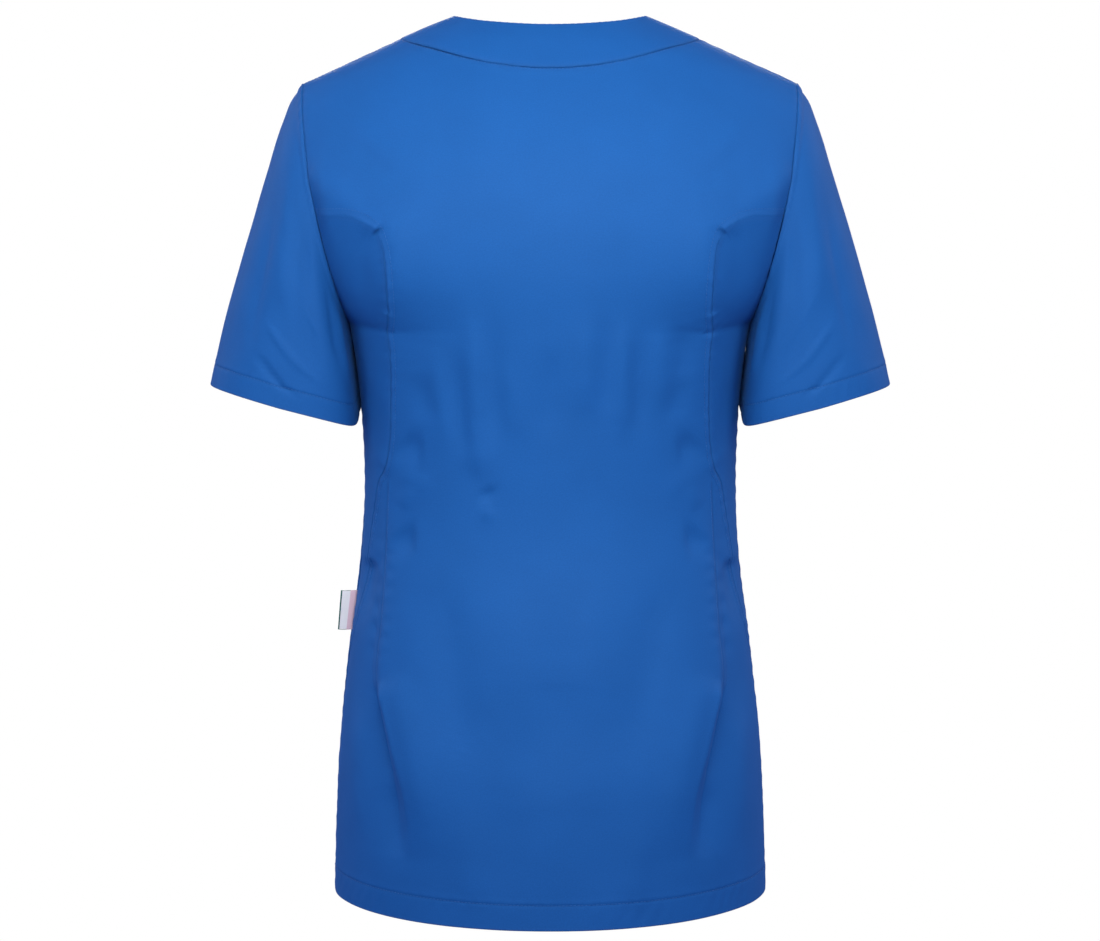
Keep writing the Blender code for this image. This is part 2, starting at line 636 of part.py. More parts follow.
def sleeve_piece(name, side, material):
    hem = 1 - CUFF_DEEP / SLEEVE_LONG
    along = spread(0.0, hem - 0.02, 0.09) + [hem, 1.0]
    angles = np.arange(0.0, 360.0, ARM_STEP)
    count = len(angles)
    outer, inner = [], []
    for k, v in enumerate(along):
        here = np.full(count, v)
        points, normals = sleeve(here, angles), sleeve_normal(here, angles)
        if k == 0:
            for i, a in enumerate(angles):
                face, turn = (BACK, a) if a <= 180 else (FRONT, 360 - a)
                mate = body_normal(face, 1.0, level_at_arm(face, turn))
                if a in (0.0, 180.0):
                    mate = unit(mate + body_normal(FRONT, 1.0, level_at_arm(FRONT, turn)))
                normals[i] = blended(normals[i], mate)
            around = unit(np.roll(points, -1, axis=0) - np.roll(points, 1, axis=0))
            away = sleeve(here + 0.01, angles) - points
            away = unit(away - around * (away * around).sum(1, keepdims=True))
            points = points + away * SEAM_GAP / 2
        outer.append(points)
        inner.append(points - normals * (HEM_WALL if v > hem - 1e-6 else CLOTH))
    outer, inner = np.vstack(outer), np.vstack(inner)
    triangles = []
    for k in range(len(along) - 1):
        for i in range(count):
            a, b = k * count + i, k * count + (i + 1) % count
            triangles += [(a, a + count, b), (b, a + count, b + count)]
    last = (len(along) - 1) * count
    loops = [list(range(count))[::-1], list(range(last, last + count))]
    if side < 0:
        outer, inner = outer * (-1, 1, 1), inner * (-1, 1, 1)
        triangles = [t[::-1] for t in triangles]
        loops = [loop[::-1] for loop in loops]
    return wall(name, outer, inner, triangles, loops, material)


def neckband(name, material):
    back = list(zip(neck, neck_seam(COLLAR_WIDE, COLLAR_DEEP, NECK_POINTS)))
    front = list(zip(vee, v_seam(COLLAR_WIDE, V_EDGE, V_POINTS)))
    path = [(FRONT, 1, *pair) for pair in front[:-1]]
    path += [(BACK, 1, *pair) for pair in reversed(back)]
    path += [(BACK, -1, *pair) for pair in back[1:]]
    path += [(FRONT, -1, *pair) for pair in reversed(front[:-1])]
    stride = BAND_ROWS + 1
    points, normals = [], []
    for face, side, low, high in path:
        for share in np.linspace(0, 1, stride):
            across, up = (low[0] + (high[0] - low[0]) * share) * side, low[1] + (high[1] - low[1]) * share
            n = body_normal(face, across, up)
            if min(low[1], high[1]) > TOP[face] - 1e-6:
                n = unit(n + body_normal(1 - face, across, TOP[1 - face]))
            points.append(body_shape(face, across, up))
            normals.append(n)
    points, normals = np.array(points).reshape(-1, stride, 3), np.array(normals)
    inward = unit(points[:, 1] - points[:, 0])
    around = unit(np.gradient(points[:, 0], axis=0))
    inward -= around * (inward * around).sum(1, keepdims=True)
    points[:, 0] += unit(inward) * SEAM_GAP / 2
    points[0, :, 0], points[-1, :, 0] = SEAM_GAP / 2, -SEAM_GAP / 2
    normals[:stride, 0] = normals[-stride:, 0] = 0.0
    points = points.reshape(-1, 3)
    outer = points + normals * BAND_PROUD
    inner = points - normals * (BAND_WALL - BAND_PROUD)
    triangles = []
    for i in range(len(path) - 1):
        for k in range(BAND_ROWS):
            a, b = i * stride + k, (i + 1) * stride + k
            triangles += [(a, b, a + 1), (b, b + 1, a + 1)]
    last = (len(path) - 1) * stride
    loop = [i * stride for i in range(len(path))]
    loop += [last + k for k in range(1, stride)]
    loop += [i * stride + BAND_ROWS for i in range(len(path) - 2, -1, -1)]
    loop += list(range(BAND_ROWS - 1, 0, -1))
    return wall(name, outer, inner, triangles, [loop], material)


def side_label(name, material):
    """A small folded tag that stands out of the side seam."""
    bm = bmesh.new()
    bmesh.ops.create_cube(bm, size=1.0)
    for v in bm.verts:
        z = LABEL["top"] if v.co.z > 0 else LABEL["low"]
        seam = float(smooth(z, SIDE_SEAM["z"], SIDE_SEAM["half_wide"])) + LABEL["clear"]
        out = LABEL["out_top"] if v.co.z > 0 else LABEL["out_low"]
        v.co = ((out if v.co.x > 0 else seam) * MM, v.co.y * LABEL["wall"] * MM, z * MM)
    mesh = bpy.data.meshes.new(name)
    bm.to_mesh(mesh)
    bm.free()
    mesh.materials.append(material)
    obj = bpy.data.objects.new(name, mesh)
    collection.objects.link(obj)
    return obj


def finish(name, colour, roughness):
    material = bpy.data.materials.new(name)
    material.use_nodes = True
    shader = material.node_tree.nodes["Principled BSDF"]
    shader.inputs["Base Color"].default_value = (*colour, 1.0)
    shader.inputs["Roughness"].default_value = roughness
    shader.inputs["Metallic"].default_value = 0.0
    return material


collection = bpy.data.collections.new("scrub_top")
bpy.context.scene.collection.children.link(collection)

# ---- Cutting the panels ----
princess = princess_seam()
princess_angle = float(armhole_angle(BACK, princess[0][1]))
neck = neck_seam(NECK_WIDE, NECK_DEEP, NECK_POINTS)
vee = v_seam(NECK_WIDE, V_SEAM, V_POINTS)
shoulder = [(a, TOP[BACK]) for a in spread(neck[-1][0], 1.0, 0.11)]
hem_line = [(a, 0.0) for a in np.linspace(-1, 1, 2 * HEM_POINTS + 1)]

# Up the left half of the back: side seam, curved seam, armhole, shoulder seam, neck seam.
hem_top = float(edge(BACK, princess[-1][1])[2])
left_back = join(
    side_run(BACK, SIDE_SEAM["z"][0], hem_top),
    princess[::-1],
    arm_run(BACK, princess_angle, 0.0),
    shoulder[::-1],
    neck[::-1],
)
tuck_marks = []
for z in spread(TUCK["z"][0] - 12, TUCK["z"][-1] + 14, 21.0):
    x = float(smooth(z, TUCK["z"][::-1], TUCK["x"][::-1]))
    for shift in (-TUCK_STEP - 14, -TUCK_STEP, TUCK_STEP):
        a, u = place(BACK, (0, 2), (x + shift, z), (0.72, z + 700))
        tuck_marks += [(a, u), (-a, u)]
cut_panel("back_centre", BACK, join(hem_line, left_back, mirrored(left_back)), finish("cloth_back", BLUE, 0.6), tuck_marks)

# Round each side back: up the side seam to the underarm, round the armhole, down the curved seam.
left_side = join(side_run(BACK, hem_top, UNDERARM), arm_run(BACK, 180.0, princess_angle), princess)
cut_panel("side_back_left", BACK, left_side, finish("cloth_side_left", BLUE, 0.6))
cut_panel("side_back_right", BACK, mirrored(left_side), finish("cloth_side_right", BLUE, 0.6))

# Up the left half of the front: side seam, armhole, shoulder seam, V.
shoulder = [(a, TOP[FRONT]) for a, _ in shoulder]
left_front = join(
    side_run(FRONT, SIDE_SEAM["z"][0], UNDERARM),
    arm_run(FRONT, 180.0, 0.0),
    shoulder[::-1],
    vee[::-1],
)
cut_panel("front", FRONT, join(hem_line, left_front, mirrored(left_front)), finish("cloth_front", BLUE, 0.6))

sleeve_piece("sleeve_left", 1, finish("cloth_sleeve_left", BLUE, 0.6))
sleeve_piece("sleeve_right", -1, finish("cloth_sleeve_right", BLUE, 0.6))
neckband("neckband", finish("cloth_band", BLUE, 0.6))
side_label("side_label", finish("label_tape", (0.80, 0.80, 0.80), 0.7))
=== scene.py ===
"""The finished scrub top: a thin shell on each panel's own form, with its folds, seams, hems, stitching and side label."""

import math

import bmesh
import bpy
import numpy as np
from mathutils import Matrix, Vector
from mathutils.bvhtree import BVHTree
from mathutils.geometry import delaunay_2d_cdt
from mathutils.kdtree import KDTree


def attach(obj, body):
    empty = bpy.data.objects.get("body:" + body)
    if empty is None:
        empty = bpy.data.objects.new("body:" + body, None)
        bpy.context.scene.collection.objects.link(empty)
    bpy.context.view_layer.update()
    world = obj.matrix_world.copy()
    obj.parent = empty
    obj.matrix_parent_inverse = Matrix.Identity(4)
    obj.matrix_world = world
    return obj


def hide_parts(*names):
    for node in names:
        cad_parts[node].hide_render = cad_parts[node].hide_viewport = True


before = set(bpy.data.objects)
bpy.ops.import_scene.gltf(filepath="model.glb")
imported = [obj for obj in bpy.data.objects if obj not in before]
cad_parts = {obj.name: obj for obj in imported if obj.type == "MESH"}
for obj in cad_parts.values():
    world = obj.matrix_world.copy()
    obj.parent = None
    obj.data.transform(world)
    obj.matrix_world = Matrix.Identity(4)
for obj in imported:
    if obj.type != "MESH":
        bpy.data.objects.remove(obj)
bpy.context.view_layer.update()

MM = 0.001
BACK, FRONT = 0, 1

# ---- Shoulders and neck ----
NECK_WIDE, NECK_DEEP = 118.4, 72.0  # neck seam at the back, half its width and its depth behind the shoulder line
COLLAR_WIDE, COLLAR_DEEP = 75.5, 45.0  # the band's upper edge
V_SEAM = 250.0  # how far the neck seam's point lies below the shoulder line at the front
V_EDGE = 150.0  # and the band's edge
V_BOW = 1.12  # 1 is a straight V

# ---- Underarm ----
UNDERARM = -224.0
UNDERARM_WIDE = 160.0


def columns(names, *rows):
    """The columns of a table whose rows start with a label, by name."""
    return {
        name: np.array([row[i + 1] for row in rows], float)
        for i, name in enumerate(names.split())
    }


SIDE_SEAM = columns(
    "z half_wide",
    ("hem", -677, 172.2),
    ("low hip", -610, 170.3),
    ("hip", -540, 166.3),
    ("high hip", -470, 158.8),
    ("below waist", -410, 151.2),
    ("waist", -352, 148.2),
    ("rib", -300, 150.2),
    ("under the sleeve", -260, 153.8),
    ("underarm", UNDERARM, UNDERARM_WIDE),
)

# height: of the centre line. side_z: where the level meets the side seam. arm: or the armhole, in degrees from its top.
# deep: the centre line's distance from the shoulder line. first: how far the level runs straight out from the centre,
# as a share of its width. corner: where the tangents of its two ends meet. full: how far it bulges towards that corner.
# drop: how much of the level's fall comes there.
LEVEL = "height side_z arm deep first corner full drop"
LEVELS = {
    BACK: columns(
        LEVEL,
        ("hem", -693, -677, 180, 131, 0.60, 1.00, 0.60, 0.45),
        ("low hip", -620, -610, 180, 131, 0.60, 1.00, 0.60, 0.40),
        ("hip", -545, -540, 180, 126, 0.60, 1.00, 0.60, 0.30),
        ("high hip", -470, -467, 180, 115, 0.59, 1.00, 0.59, 0.30),
        ("waist", -385, -384, 180, 101, 0.58, 1.00, 0.58, 0.30),
        ("rib", -310, -310, 180, 103, 0.58, 1.00, 0.58, 0.30),
        ("underarm", -232, UNDERARM, 180, 114, 0.58, 1.00, 0.58, 0.30),
        ("low blade", -185, UNDERARM, 138, 119, 0.55, 0.93, 0.59, 0.30),
        ("blade", -140, UNDERARM, 108, 117, 0.50, 0.83, 0.60, 0.30),
        ("high blade", -98, UNDERARM, 80, 107, 0.45, 0.73, 0.62, 0.30),
        ("yoke", -60, UNDERARM, 56, 91, 0.40, 0.66, 0.66, 0.31),
        ("neck seam", -26, UNDERARM, 36, 72, 0.34, 0.60, 0.74, 0.33),
        ("collar", 9, UNDERARM, 17, 45, 0.31, 0.55, 0.86, 0.37),
        ("shoulder line", 32, UNDERARM, 0, 0, 0.33, 0.52, 0.98, 0.41),
    ),
    FRONT: columns(
        LEVEL,
        ("hem", -690, -677, 180, 136, 0.61, 1.00, 0.61, 0.45),
        ("low hip", -618, -610, 180, 135, 0.61, 1.00, 0.61, 0.40),
        ("hip", -545, -540, 180, 131, 0.61, 1.00, 0.61, 0.30),
        ("high hip", -470, -467, 180, 124, 0.61, 1.00, 0.61, 0.30),
        ("waist", -385, -384, 180, 117, 0.60, 1.00, 0.60, 0.30),
        ("rib", -310, -310, 180, 122, 0.60, 1.00, 0.60, 0.30),
        ("underarm", -232, UNDERARM, 180, 134, 0.60, 1.00, 0.60, 0.30),
        ("low chest", -187, UNDERARM, 138, 132, 0.58, 0.94, 0.62, 0.30),
        ("chest", -142, UNDERARM, 108, 121, 0.52, 0.86, 0.62, 0.30),
        ("high chest", -100, UNDERARM, 80, 104, 0.47, 0.76, 0.63, 0.30),
        ("collarbone", -60, UNDERARM, 56, 83, 0.41, 0.68, 0.66, 0.31),
        ("throat", -26, UNDERARM, 36, 62, 0.34, 0.61, 0.74, 0.33),
        ("collar", 7, UNDERARM, 17, 38, 0.31, 0.56, 0.86, 0.37),
        ("shoulder line", 32, UNDERARM, 0, 0, 0.33, 0.52, 0.98, 0.41),
    ),
}
for _table in LEVELS.values():  # up: each level's distance up the centre line from the hem
    _steps = np.hypot(np.diff(_table["height"]), np.diff(_table["deep"]))
    _table["up"] = np.concatenate([[0.0], np.cumsum(_steps)])
TOP = {face: float(LEVELS[face]["up"][-1]) for face in LEVELS}
UNDERARM_ROW = 6

# along: share of the way down the sleeve. over_, under_: the ring's points over and under the arm. middle: its centre
# in Y. deep: half its depth. bulge: how far its front and back stand out from the line between those two points.
# egg: how much wider it is below than above. square: 1 is round under the arm, more is flatter against the body. tip: how
# much lower its back is than its front, halved. lean: how far it swells towards the body in front of the underarm.
TIP_TURN = 0.35  # how soon the tip comes, away from the two points
LEAN_AT, LEAN_WIDE = 206.0, 22.0  # degrees round the ring
RINGS = columns(
    "along over_x over_z under_x under_z middle deep bulge egg square tip lean",
    ("armhole", 0.00, 196.0, -34.3, 160.0, -224.0, 2, 59, 7.0, 0.10, 1.00, 0.0, 0.0),
    ("cap", 0.13, 211.4, -64.0, 159.1, -233.5, 2, 61, 6.0, 0.09, 1.10, 0.0, 0.0),
    ("upper arm", 0.28, 223.8, -102.0, 157.6, -244.5, 2, 62, 4.5, 0.07, 1.25, 0.5, 0.8),
    ("arm", 0.44, 235.7, -141.0, 156.0, -256.5, 2, 63, 3.0, 0.05, 1.40, 2.0, 2.0),
    ("low arm", 0.60, 247.2, -179.5, 154.7, -268.0, 1, 63, 1.5, 0.03, 1.50, 4.0, 2.8),
    ("above hem", 0.77, 258.4, -220.0, 153.6, -280.5, 1, 62, 0.5, 0.00, 1.50, 6.0, 3.2),
    ("cuff", 1.00, 271.0, -273.5, 152.6, -297.0, 0, 61, 0.0, 0.00, 1.50, 7.0, 3.2),
)

# The curved seam between the centre back and the side back, from the armhole round and down to the side seam.
PRINCESS = columns(
    "across up",
    ("armhole", 1.000, 574),
    ("over the blade", 0.843, 570),
    ("level", 0.745, 567),
    ("turning", 0.657, 561),
    ("corner", 0.592, 552),
    ("below the corner", 0.560, 538),
    ("blade", 0.547, 524),
    ("low blade", 0.544, 506),
    ("chest", 0.549, 480),
    ("rib", 0.563, 446),
    ("low rib", 0.595, 414),
    ("above waist", 0.632, 377),
    ("waist", 0.664, 357),
    ("bend", 0.722, 346),
    ("below waist", 0.760, 326),
    ("flank", 0.808, 296),
    ("low flank", 0.840, 268),
    ("end of flank", 0.880, 238),
    ("side seam", 1.000, 196),
)


# Along the curved seam the body turns from the back to the side, so the cloth stands out there: how far, by height.
CREASE = columns(
    "z out",
    ("rib", -330, 0.0),
    ("underarm", -250, 3.4),
    ("low blade", -215, 6.4),
    ("blade", -180, 8.0),
    ("below the corner", -158, 7.4),
    ("level part", -145, 5.4),
    ("above it", -120, 0.0),
)
CREASE_IN, CREASE_OUT = 74.0, 46.0  # how far it reaches towards the centre, and towards the side
CREASE_CLEAR = 26.0  # it fades this far from the armhole and the side seam

# The tuck sewn into each half of the back, and the fold that opens below it: where it is, how much the cloth stands out
# on its centre side and sinks on its outer side.
TUCK = columns(
    "z x out sink",
    ("top", -352, 127.5, 0.0, 0.0),
    ("upper", -400, 129.5, 1.2, 0.8),
    ("lower", -460, 133.0, 1.8, 1.6),
    ("end of stitching", -508, 135.5, 3.2, 3.0),
    ("fold", -536, 128.6, 4.0, 4.0),
    ("open fold", -560, 123.0, 4.2, 4.2),
    ("low fold", -592, 116.6, 3.4, 3.4),
    ("gone", -640, 113.0, 0.0, 0.0),
)
TUCK_STEP = 5.0  # from the line to its crest, and to its trough
TUCK_REACH = 42.0  # how far the swell goes on from there
HEM_DEEP, CUFF_DEEP = 20.0, 17.0

# ---- Smooth lines through a table ----
def slopes(xs, ys, end):
    steps = np.diff(ys) / np.diff(xs)
    out = np.empty(len(xs))
    gaps = np.diff(xs)
    out[1:-1] = (steps[:-1] * gaps[1:] + steps[1:] * gaps[:-1]) / (gaps[:-1] + gaps[1:])
    out[0] = 1.5 * steps[0] - 0.5 * out[1]
    out[-1] = {"free": 1.5 * steps[-1] - 0.5 * out[-2], "level": 0.0, "straight": steps[-1]}[end]
    return out


def smooth(x, xs, ys, end="free"):
    """The value at x of the smooth line through the points (xs, ys)."""
    x = np.clip(np.asarray(x, float), xs[0], xs[-1])
    i = np.clip(np.searchsorted(xs, x, side="right") - 1, 0, len(xs) - 2)
    gap = xs[i + 1] - xs[i]
    f = (x - xs[i]) / gap
    m = slopes(xs, ys, end)
    return (
        ys[i] * (1 + 2 * f) * (1 - f) ** 2
        + m[i] * gap * f * (1 - f) ** 2
        + ys[i + 1] * f * f * (3 - 2 * f)
        - m[i + 1] * gap * f * f * (1 - f)
    )


def vectors(x, y, z):
    return np.stack(np.broadcast_arrays(x, y, z), axis=-1).astype(float)


def unit(v):
    return v / np.maximum(np.linalg.norm(v, axis=-1, keepdims=True), 1e-12)


# ---- Sleeve and armhole ----
def sleeve(along, angle):
    """A point of the left sleeve; angle 0 is over the arm, 90 degrees its back, 180 under it."""
    along, angle = np.broadcast_arrays(np.asarray(along, float), np.radians(angle))
    ring = {
        key: smooth(along, RINGS["along"], RINGS[key])
        for key in RINGS
        if key != "along"
    }
    c, s = np.cos(angle), np.sin(angle)
    over = vectors(ring["over_x"], 0, ring["over_z"])
    under = vectors(ring["under_x"], 0, ring["under_z"])
    chord = unit(over - under)
    outward = vectors(chord[..., 2], 0, -chord[..., 0])
    flatter = np.where(c < 0, np.maximum(1 + c, 0) ** ring["square"] - 1, c)
    point = (over + under) / 2 + (over - under) / 2 * flatter[..., None]
    point = point + outward * (ring["bulge"] * s * s)[..., None]
    point[..., 1] += ring["middle"] + ring["deep"] * s * (1 - ring["egg"] * c)
    point[..., 2] -= ring["tip"] * (1 - 0.75 * c) * s * math.hypot(1, TIP_TURN) / np.hypot(s, TIP_TURN)
    turn = (np.mod(np.degrees(angle) - LEAN_AT + 180.0, 360.0) - 180.0) / LEAN_WIDE
    point[..., 0] -= ring["lean"] * np.exp(-turn * turn)
    return point + sleeve_folds(along, np.degrees(angle))


def sleeve_folds(along, angle):
    """The sleeve's two largest folds: soft creases that run down it, one behind and one in front."""
    out = np.zeros(np.shape(along) + (3,))
    for centre, deep, wide in ((38.0, 2.6, 15.0), (-42.0, 2.0, 16.0)):
        turn = (np.mod(angle - centre + 180.0, 360.0) - 180.0) / wide
        fade = np.clip((along - 0.25) / 0.3, 0, 1) * np.clip((0.97 - along) / 0.2, 0, 1)
        out[..., 0] -= deep * np.exp(-turn * turn) * fade
    return out


def sleeve_normal(along, angle):
    lo, hi = np.clip(along - 0.004, 0, 1), np.clip(along + 0.004, 0, 1)
    down = sleeve(hi, angle) - sleeve(lo, angle)
    round_ = sleeve(along, angle + 0.5) - sleeve(along, angle - 0.5)
    return unit(np.cross(down, round_))


# ---- Body ----
def level_values(face, up):
    """Each column at this distance up; they all level out at the shoulder line, so front and back meet in one curve."""
    table = LEVELS[face]
    out = {key: smooth(up, table["up"], table[key], "level") for key in ("height", "first", "corner", "full", "drop")}
    out["deep"] = smooth(up, table["up"], table["deep"], "straight")
    return out


def edge(face, up):
    """The outer end of a level: on the side seam, or above it on the armhole."""
    up = np.asarray(up, float)
    table, row = LEVELS[face], UNDERARM_ROW
    low = table["up"][row]
    side_z = smooth(np.minimum(up, low), table["up"][: row + 1], table["side_z"][: row + 1])
    side = vectors(smooth(side_z, SIDE_SEAM["z"], SIDE_SEAM["half_wide"]), 0, side_z)
    hole = sleeve(np.zeros_like(up), armhole_angle(face, up))
    return np.where((up <= low)[..., None], side, hole)


def armhole_angle(face, up):
    table, row = LEVELS[face], UNDERARM_ROW
    turn = smooth(up, table["up"][row:], table["arm"][row:], "straight")
    return turn if face == BACK else -turn


def body_shape(face, across, up):
    """A point of the body before its folds; across goes from -1, the wearer's right, to 1."""
    across, up = np.broadcast_arrays(np.asarray(across, float), np.asarray(up, float))
    w = np.abs(across)[..., None]
    v = level_values(face, up)
    deep, high = v["deep"] if face == BACK else -v["deep"], v["height"]
    end = edge(face, up)
    middle = vectors(0, deep, high)
    one = vectors(end[..., 0] * v["first"], deep, high)
    corner = vectors(end[..., 0] * v["corner"], deep, high + (end[..., 2] - high) * v["drop"])
    two = end + (corner - end) * v["full"][..., None]
    point = middle * (1 - w) ** 3 + one * 3 * w * (1 - w) ** 2 + two * 3 * w * w * (1 - w) + end * w**3
    point[..., 0] *= np.where(across < 0, -1, 1)
    return point


def tuck_lift(point):
    """How far the cloth stands out beside the sewn tuck of the back and the fold below it."""
    z = point[..., 2]
    order = slice(None, None, -1)
    zs = TUCK["z"][order]
    line = smooth(z, zs, TUCK["x"][order])
    out = smooth(z, zs, TUCK["out"][order])
    sink = smooth(z, zs, TUCK["sink"][order])
    inside = (z > zs[0]) & (z < zs[-1])
    away = np.abs(point[..., 0]) - line
    crest = np.where(away < -TUCK_STEP, np.exp(-(((-away - TUCK_STEP) / TUCK_REACH) ** 2)), 1.0)
    trough = np.where(away > TUCK_STEP, np.exp(-(((away - TUCK_STEP) / (TUCK_REACH * 0.45)) ** 2)), 1.0)
    step = np.clip(away / TUCK_STEP, -1, 1)
    lift = np.where(step < 0, -step * out * crest, -step * sink * trough)
    return np.where(inside, lift, 0.0)


def seam_line():
    """Points of the curved seam of the left half."""
    line = PRINCESS
    run = np.concatenate([[0], np.cumsum(np.hypot(np.diff(line["across"]) * 200, np.diff(line["up"])))])
    at = np.linspace(0, run[-1], 60)
    return body_shape(BACK, smooth(at, run, line["across"]), smooth(at, run, line["up"]))


def crease_lift(point, across):
    """How far the cloth of the back stands out beside the curved seam."""
    line = CREASE_LINE
    p = point.reshape(-1, 3) * (1, 1, 1)
    p[:, 0] = np.abs(p[:, 0])
    gaps = np.linalg.norm(p[:, None] - line[None], axis=-1)
    k = gaps.argmin(1)
    last = len(line) - 1
    d = gaps[np.arange(len(p)), k]
    for other in (np.maximum(k - 1, 0), np.minimum(k + 1, last)):
        step = line[other] - line[k]
        size = np.maximum((step * step).sum(1), 1e-9)
        t = np.clip(((p - line[k]) * step).sum(1) / size, 0, 1)
        d = np.minimum(d, np.linalg.norm(p - line[k] - t[:, None] * step, axis=1))
    tangent = line[np.minimum(k + 1, last)] - line[np.maximum(k - 1, 0)]
    rel = p - line[k]
    outer = tangent[:, 0] * rel[:, 2] - tangent[:, 2] * rel[:, 0] > 0
    out = smooth(line[k, 2], CREASE["z"], CREASE["out"])
    share = np.clip(1 - d / np.where(outer, CREASE_OUT, CREASE_IN), 0, 1)
    clear = np.clip((1 - np.abs(np.ravel(across))) * 175.0 / CREASE_CLEAR, 0, 1)
    clear = clear * clear * (3 - 2 * clear)
    return (np.maximum(out, 0) * share * share * clear).reshape(point.shape[:-1])


def raw_normal(shape, face, across, up):
    a0, a1 = np.clip(across - 0.004, -1, 1), np.clip(across + 0.004, -1, 1)
    u0, u1 = np.clip(up - 0.6, 0, TOP[face]), np.clip(up + 0.6, 0, TOP[face])
    sideways = shape(face, a1, up) - shape(face, a0, up)
    rise = shape(face, across, u1) - shape(face, across, u0)
    n = np.cross(rise, sideways) if face == BACK else np.cross(sideways, rise)
    return unit(n)


def body(face, across, up):
    across, up = np.broadcast_arrays(np.asarray(across, float), np.asarray(up, float))
    point = body_shape(face, across, up)
    if face == BACK:
        lift = tuck_lift(point) + crease_lift(point, across)
        if np.any(lift != 0):
            point = point + raw_normal(body_shape, face, across, up) * lift[..., None]
    return point


CREASE_LINE = seam_line()


def body_normal(face, across, up):
    return raw_normal(body, face, across, up)


# ---- Sizes of the finished cloth, in millimetres ----
SHEET = 0.7  # one layer, with its inner face
HEM_SHEET = 1.4  # the turned-up edges
BAND_SHEET, BAND_OUT = 1.4, 0.9  # the doubled neckband, and how far it stands out from the body
GAP = 0.05  # between two panels in the bottom of a seam
LAP, LAP_DEPTH = 0.55, 0.22  # how far the neckband's edge goes over the body's, and how low its inner face is there
TUCKED = 0.25  # how far a sleeve's edge goes into the bottom of the armhole seam
ALONG = 3.0  # points along an edge
GRID = 3.7  # and in the middle of a panel
SEAM_ROWS = (0.0, 0.4, 0.9, 1.6, 2.5, 3.5, 4.6, 5.8, 7.2, 9.0)
HEM_ROWS = (0.0, 0.12, 0.4, 0.9, 2.4, 5.0, 8.0, 11.0, 14.0, 16.5, 18.2, 19.2, 20.0, 20.8, 21.6, 22.8, 25.0)
CUFF_ROWS = (0.0, 0.12, 0.4, 0.9, 2.4, 5.0, 8.0, 11.0, 13.5, 15.4, 16.3, 17.0, 17.7, 18.6, 20.0, 22.5)
PITCH, THREAD = 2.9, 0.40  # a stitch's length with its gap, and the thread's thickness


# ---- Small tools ----
def noise(points, size, seed=0):
    """Smooth noise from -1 to 1 with bumps about this size."""
    p = np.atleast_2d(np.asarray(points, float)) / size + 137.0
    if p.shape[-1] == 2:
        p = np.concatenate([p, np.zeros(p.shape[:-1] + (1,))], axis=-1)
    low = np.floor(p).astype(np.int64)
    f = p - low
    f = f * f * f * (f * (f * 6 - 15) + 10)
    out = np.zeros(p.shape[:-1])
    for dx in (0, 1):
        for dy in (0, 1):
            for dz in (0, 1):
                h = (low[..., 0] + dx) * 374761393 + (low[..., 1] + dy) * 668265263
                h = (h + (low[..., 2] + dz) * 2147483647 + seed * 1274126177) & 0xFFFFFFFF
                h = ((h ^ (h >> 13)) * 1274126177) & 0xFFFFFFFF
                h = ((h ^ (h >> 16)) & 0xFFFF) / 32767.5 - 1.0
                weight = (f[..., 0] if dx else 1 - f[..., 0]) * (f[..., 1] if dy else 1 - f[..., 1])
                out += h * weight * (f[..., 2] if dz else 1 - f[..., 2])
    return out


def ease(x):
    x = np.clip(x, 0.0, 1.0)
    return x * x * (3 - 2 * x)


def bell(d, wide):
    return np.exp(-((d / wide) ** 2))


def lengths(points):
    return np.concatenate([[0.0], np.cumsum(np.linalg.norm(np.diff(points, axis=0), axis=1))])


HALF = {}
for _face in (BACK, FRONT):
    _ups = np.linspace(0, TOP[_face], 300)
    _line = body_shape(_face, np.linspace(0, 1, 17), _ups[:, None])
    HALF[_face] = (_ups, np.linalg.norm(np.diff(_line, axis=-2), axis=-1).sum(-1))


def laid(face, at):
    """The panel laid out: distance from the centre line, and distance up."""
    return np.stack([at[:, 0] * np.interp(at[:, 1], *HALF[face]), at[:, 1]], axis=1)


def slopes_at(face, at):
    """How a point of the body moves with across and with up."""
    da = np.where(np.abs(at[:, 0]) > 0.5, -np.sign(at[:, 0]), 1.0) * 1e-4
    du = np.where(at[:, 1] > TOP[face] / 2, -1.0, 1.0) * 0.02
    here = body_shape(face, at[:, 0], at[:, 1])
    ja = (body_shape(face, at[:, 0] + da, at[:, 1]) - here) / da[:, None]
    ju = (body_shape(face, at[:, 0], at[:, 1] + du) - here) / du[:, None]
    return here, ja, ju


def solve_step(ja, ju, move):
    """The change of (across, up) that moves a point of the surface this way."""
    aa, au, uu = (ja * ja).sum(1), (ja * ju).sum(1), (ju * ju).sum(1)
    ra, ru = (ja * move).sum(1), (ju * move).sum(1)
    det = np.maximum(aa * uu - au * au, 1e-9)
    return np.stack([(ra * uu - ru * au) / det, (ru * aa - ra * au) / det], axis=1)


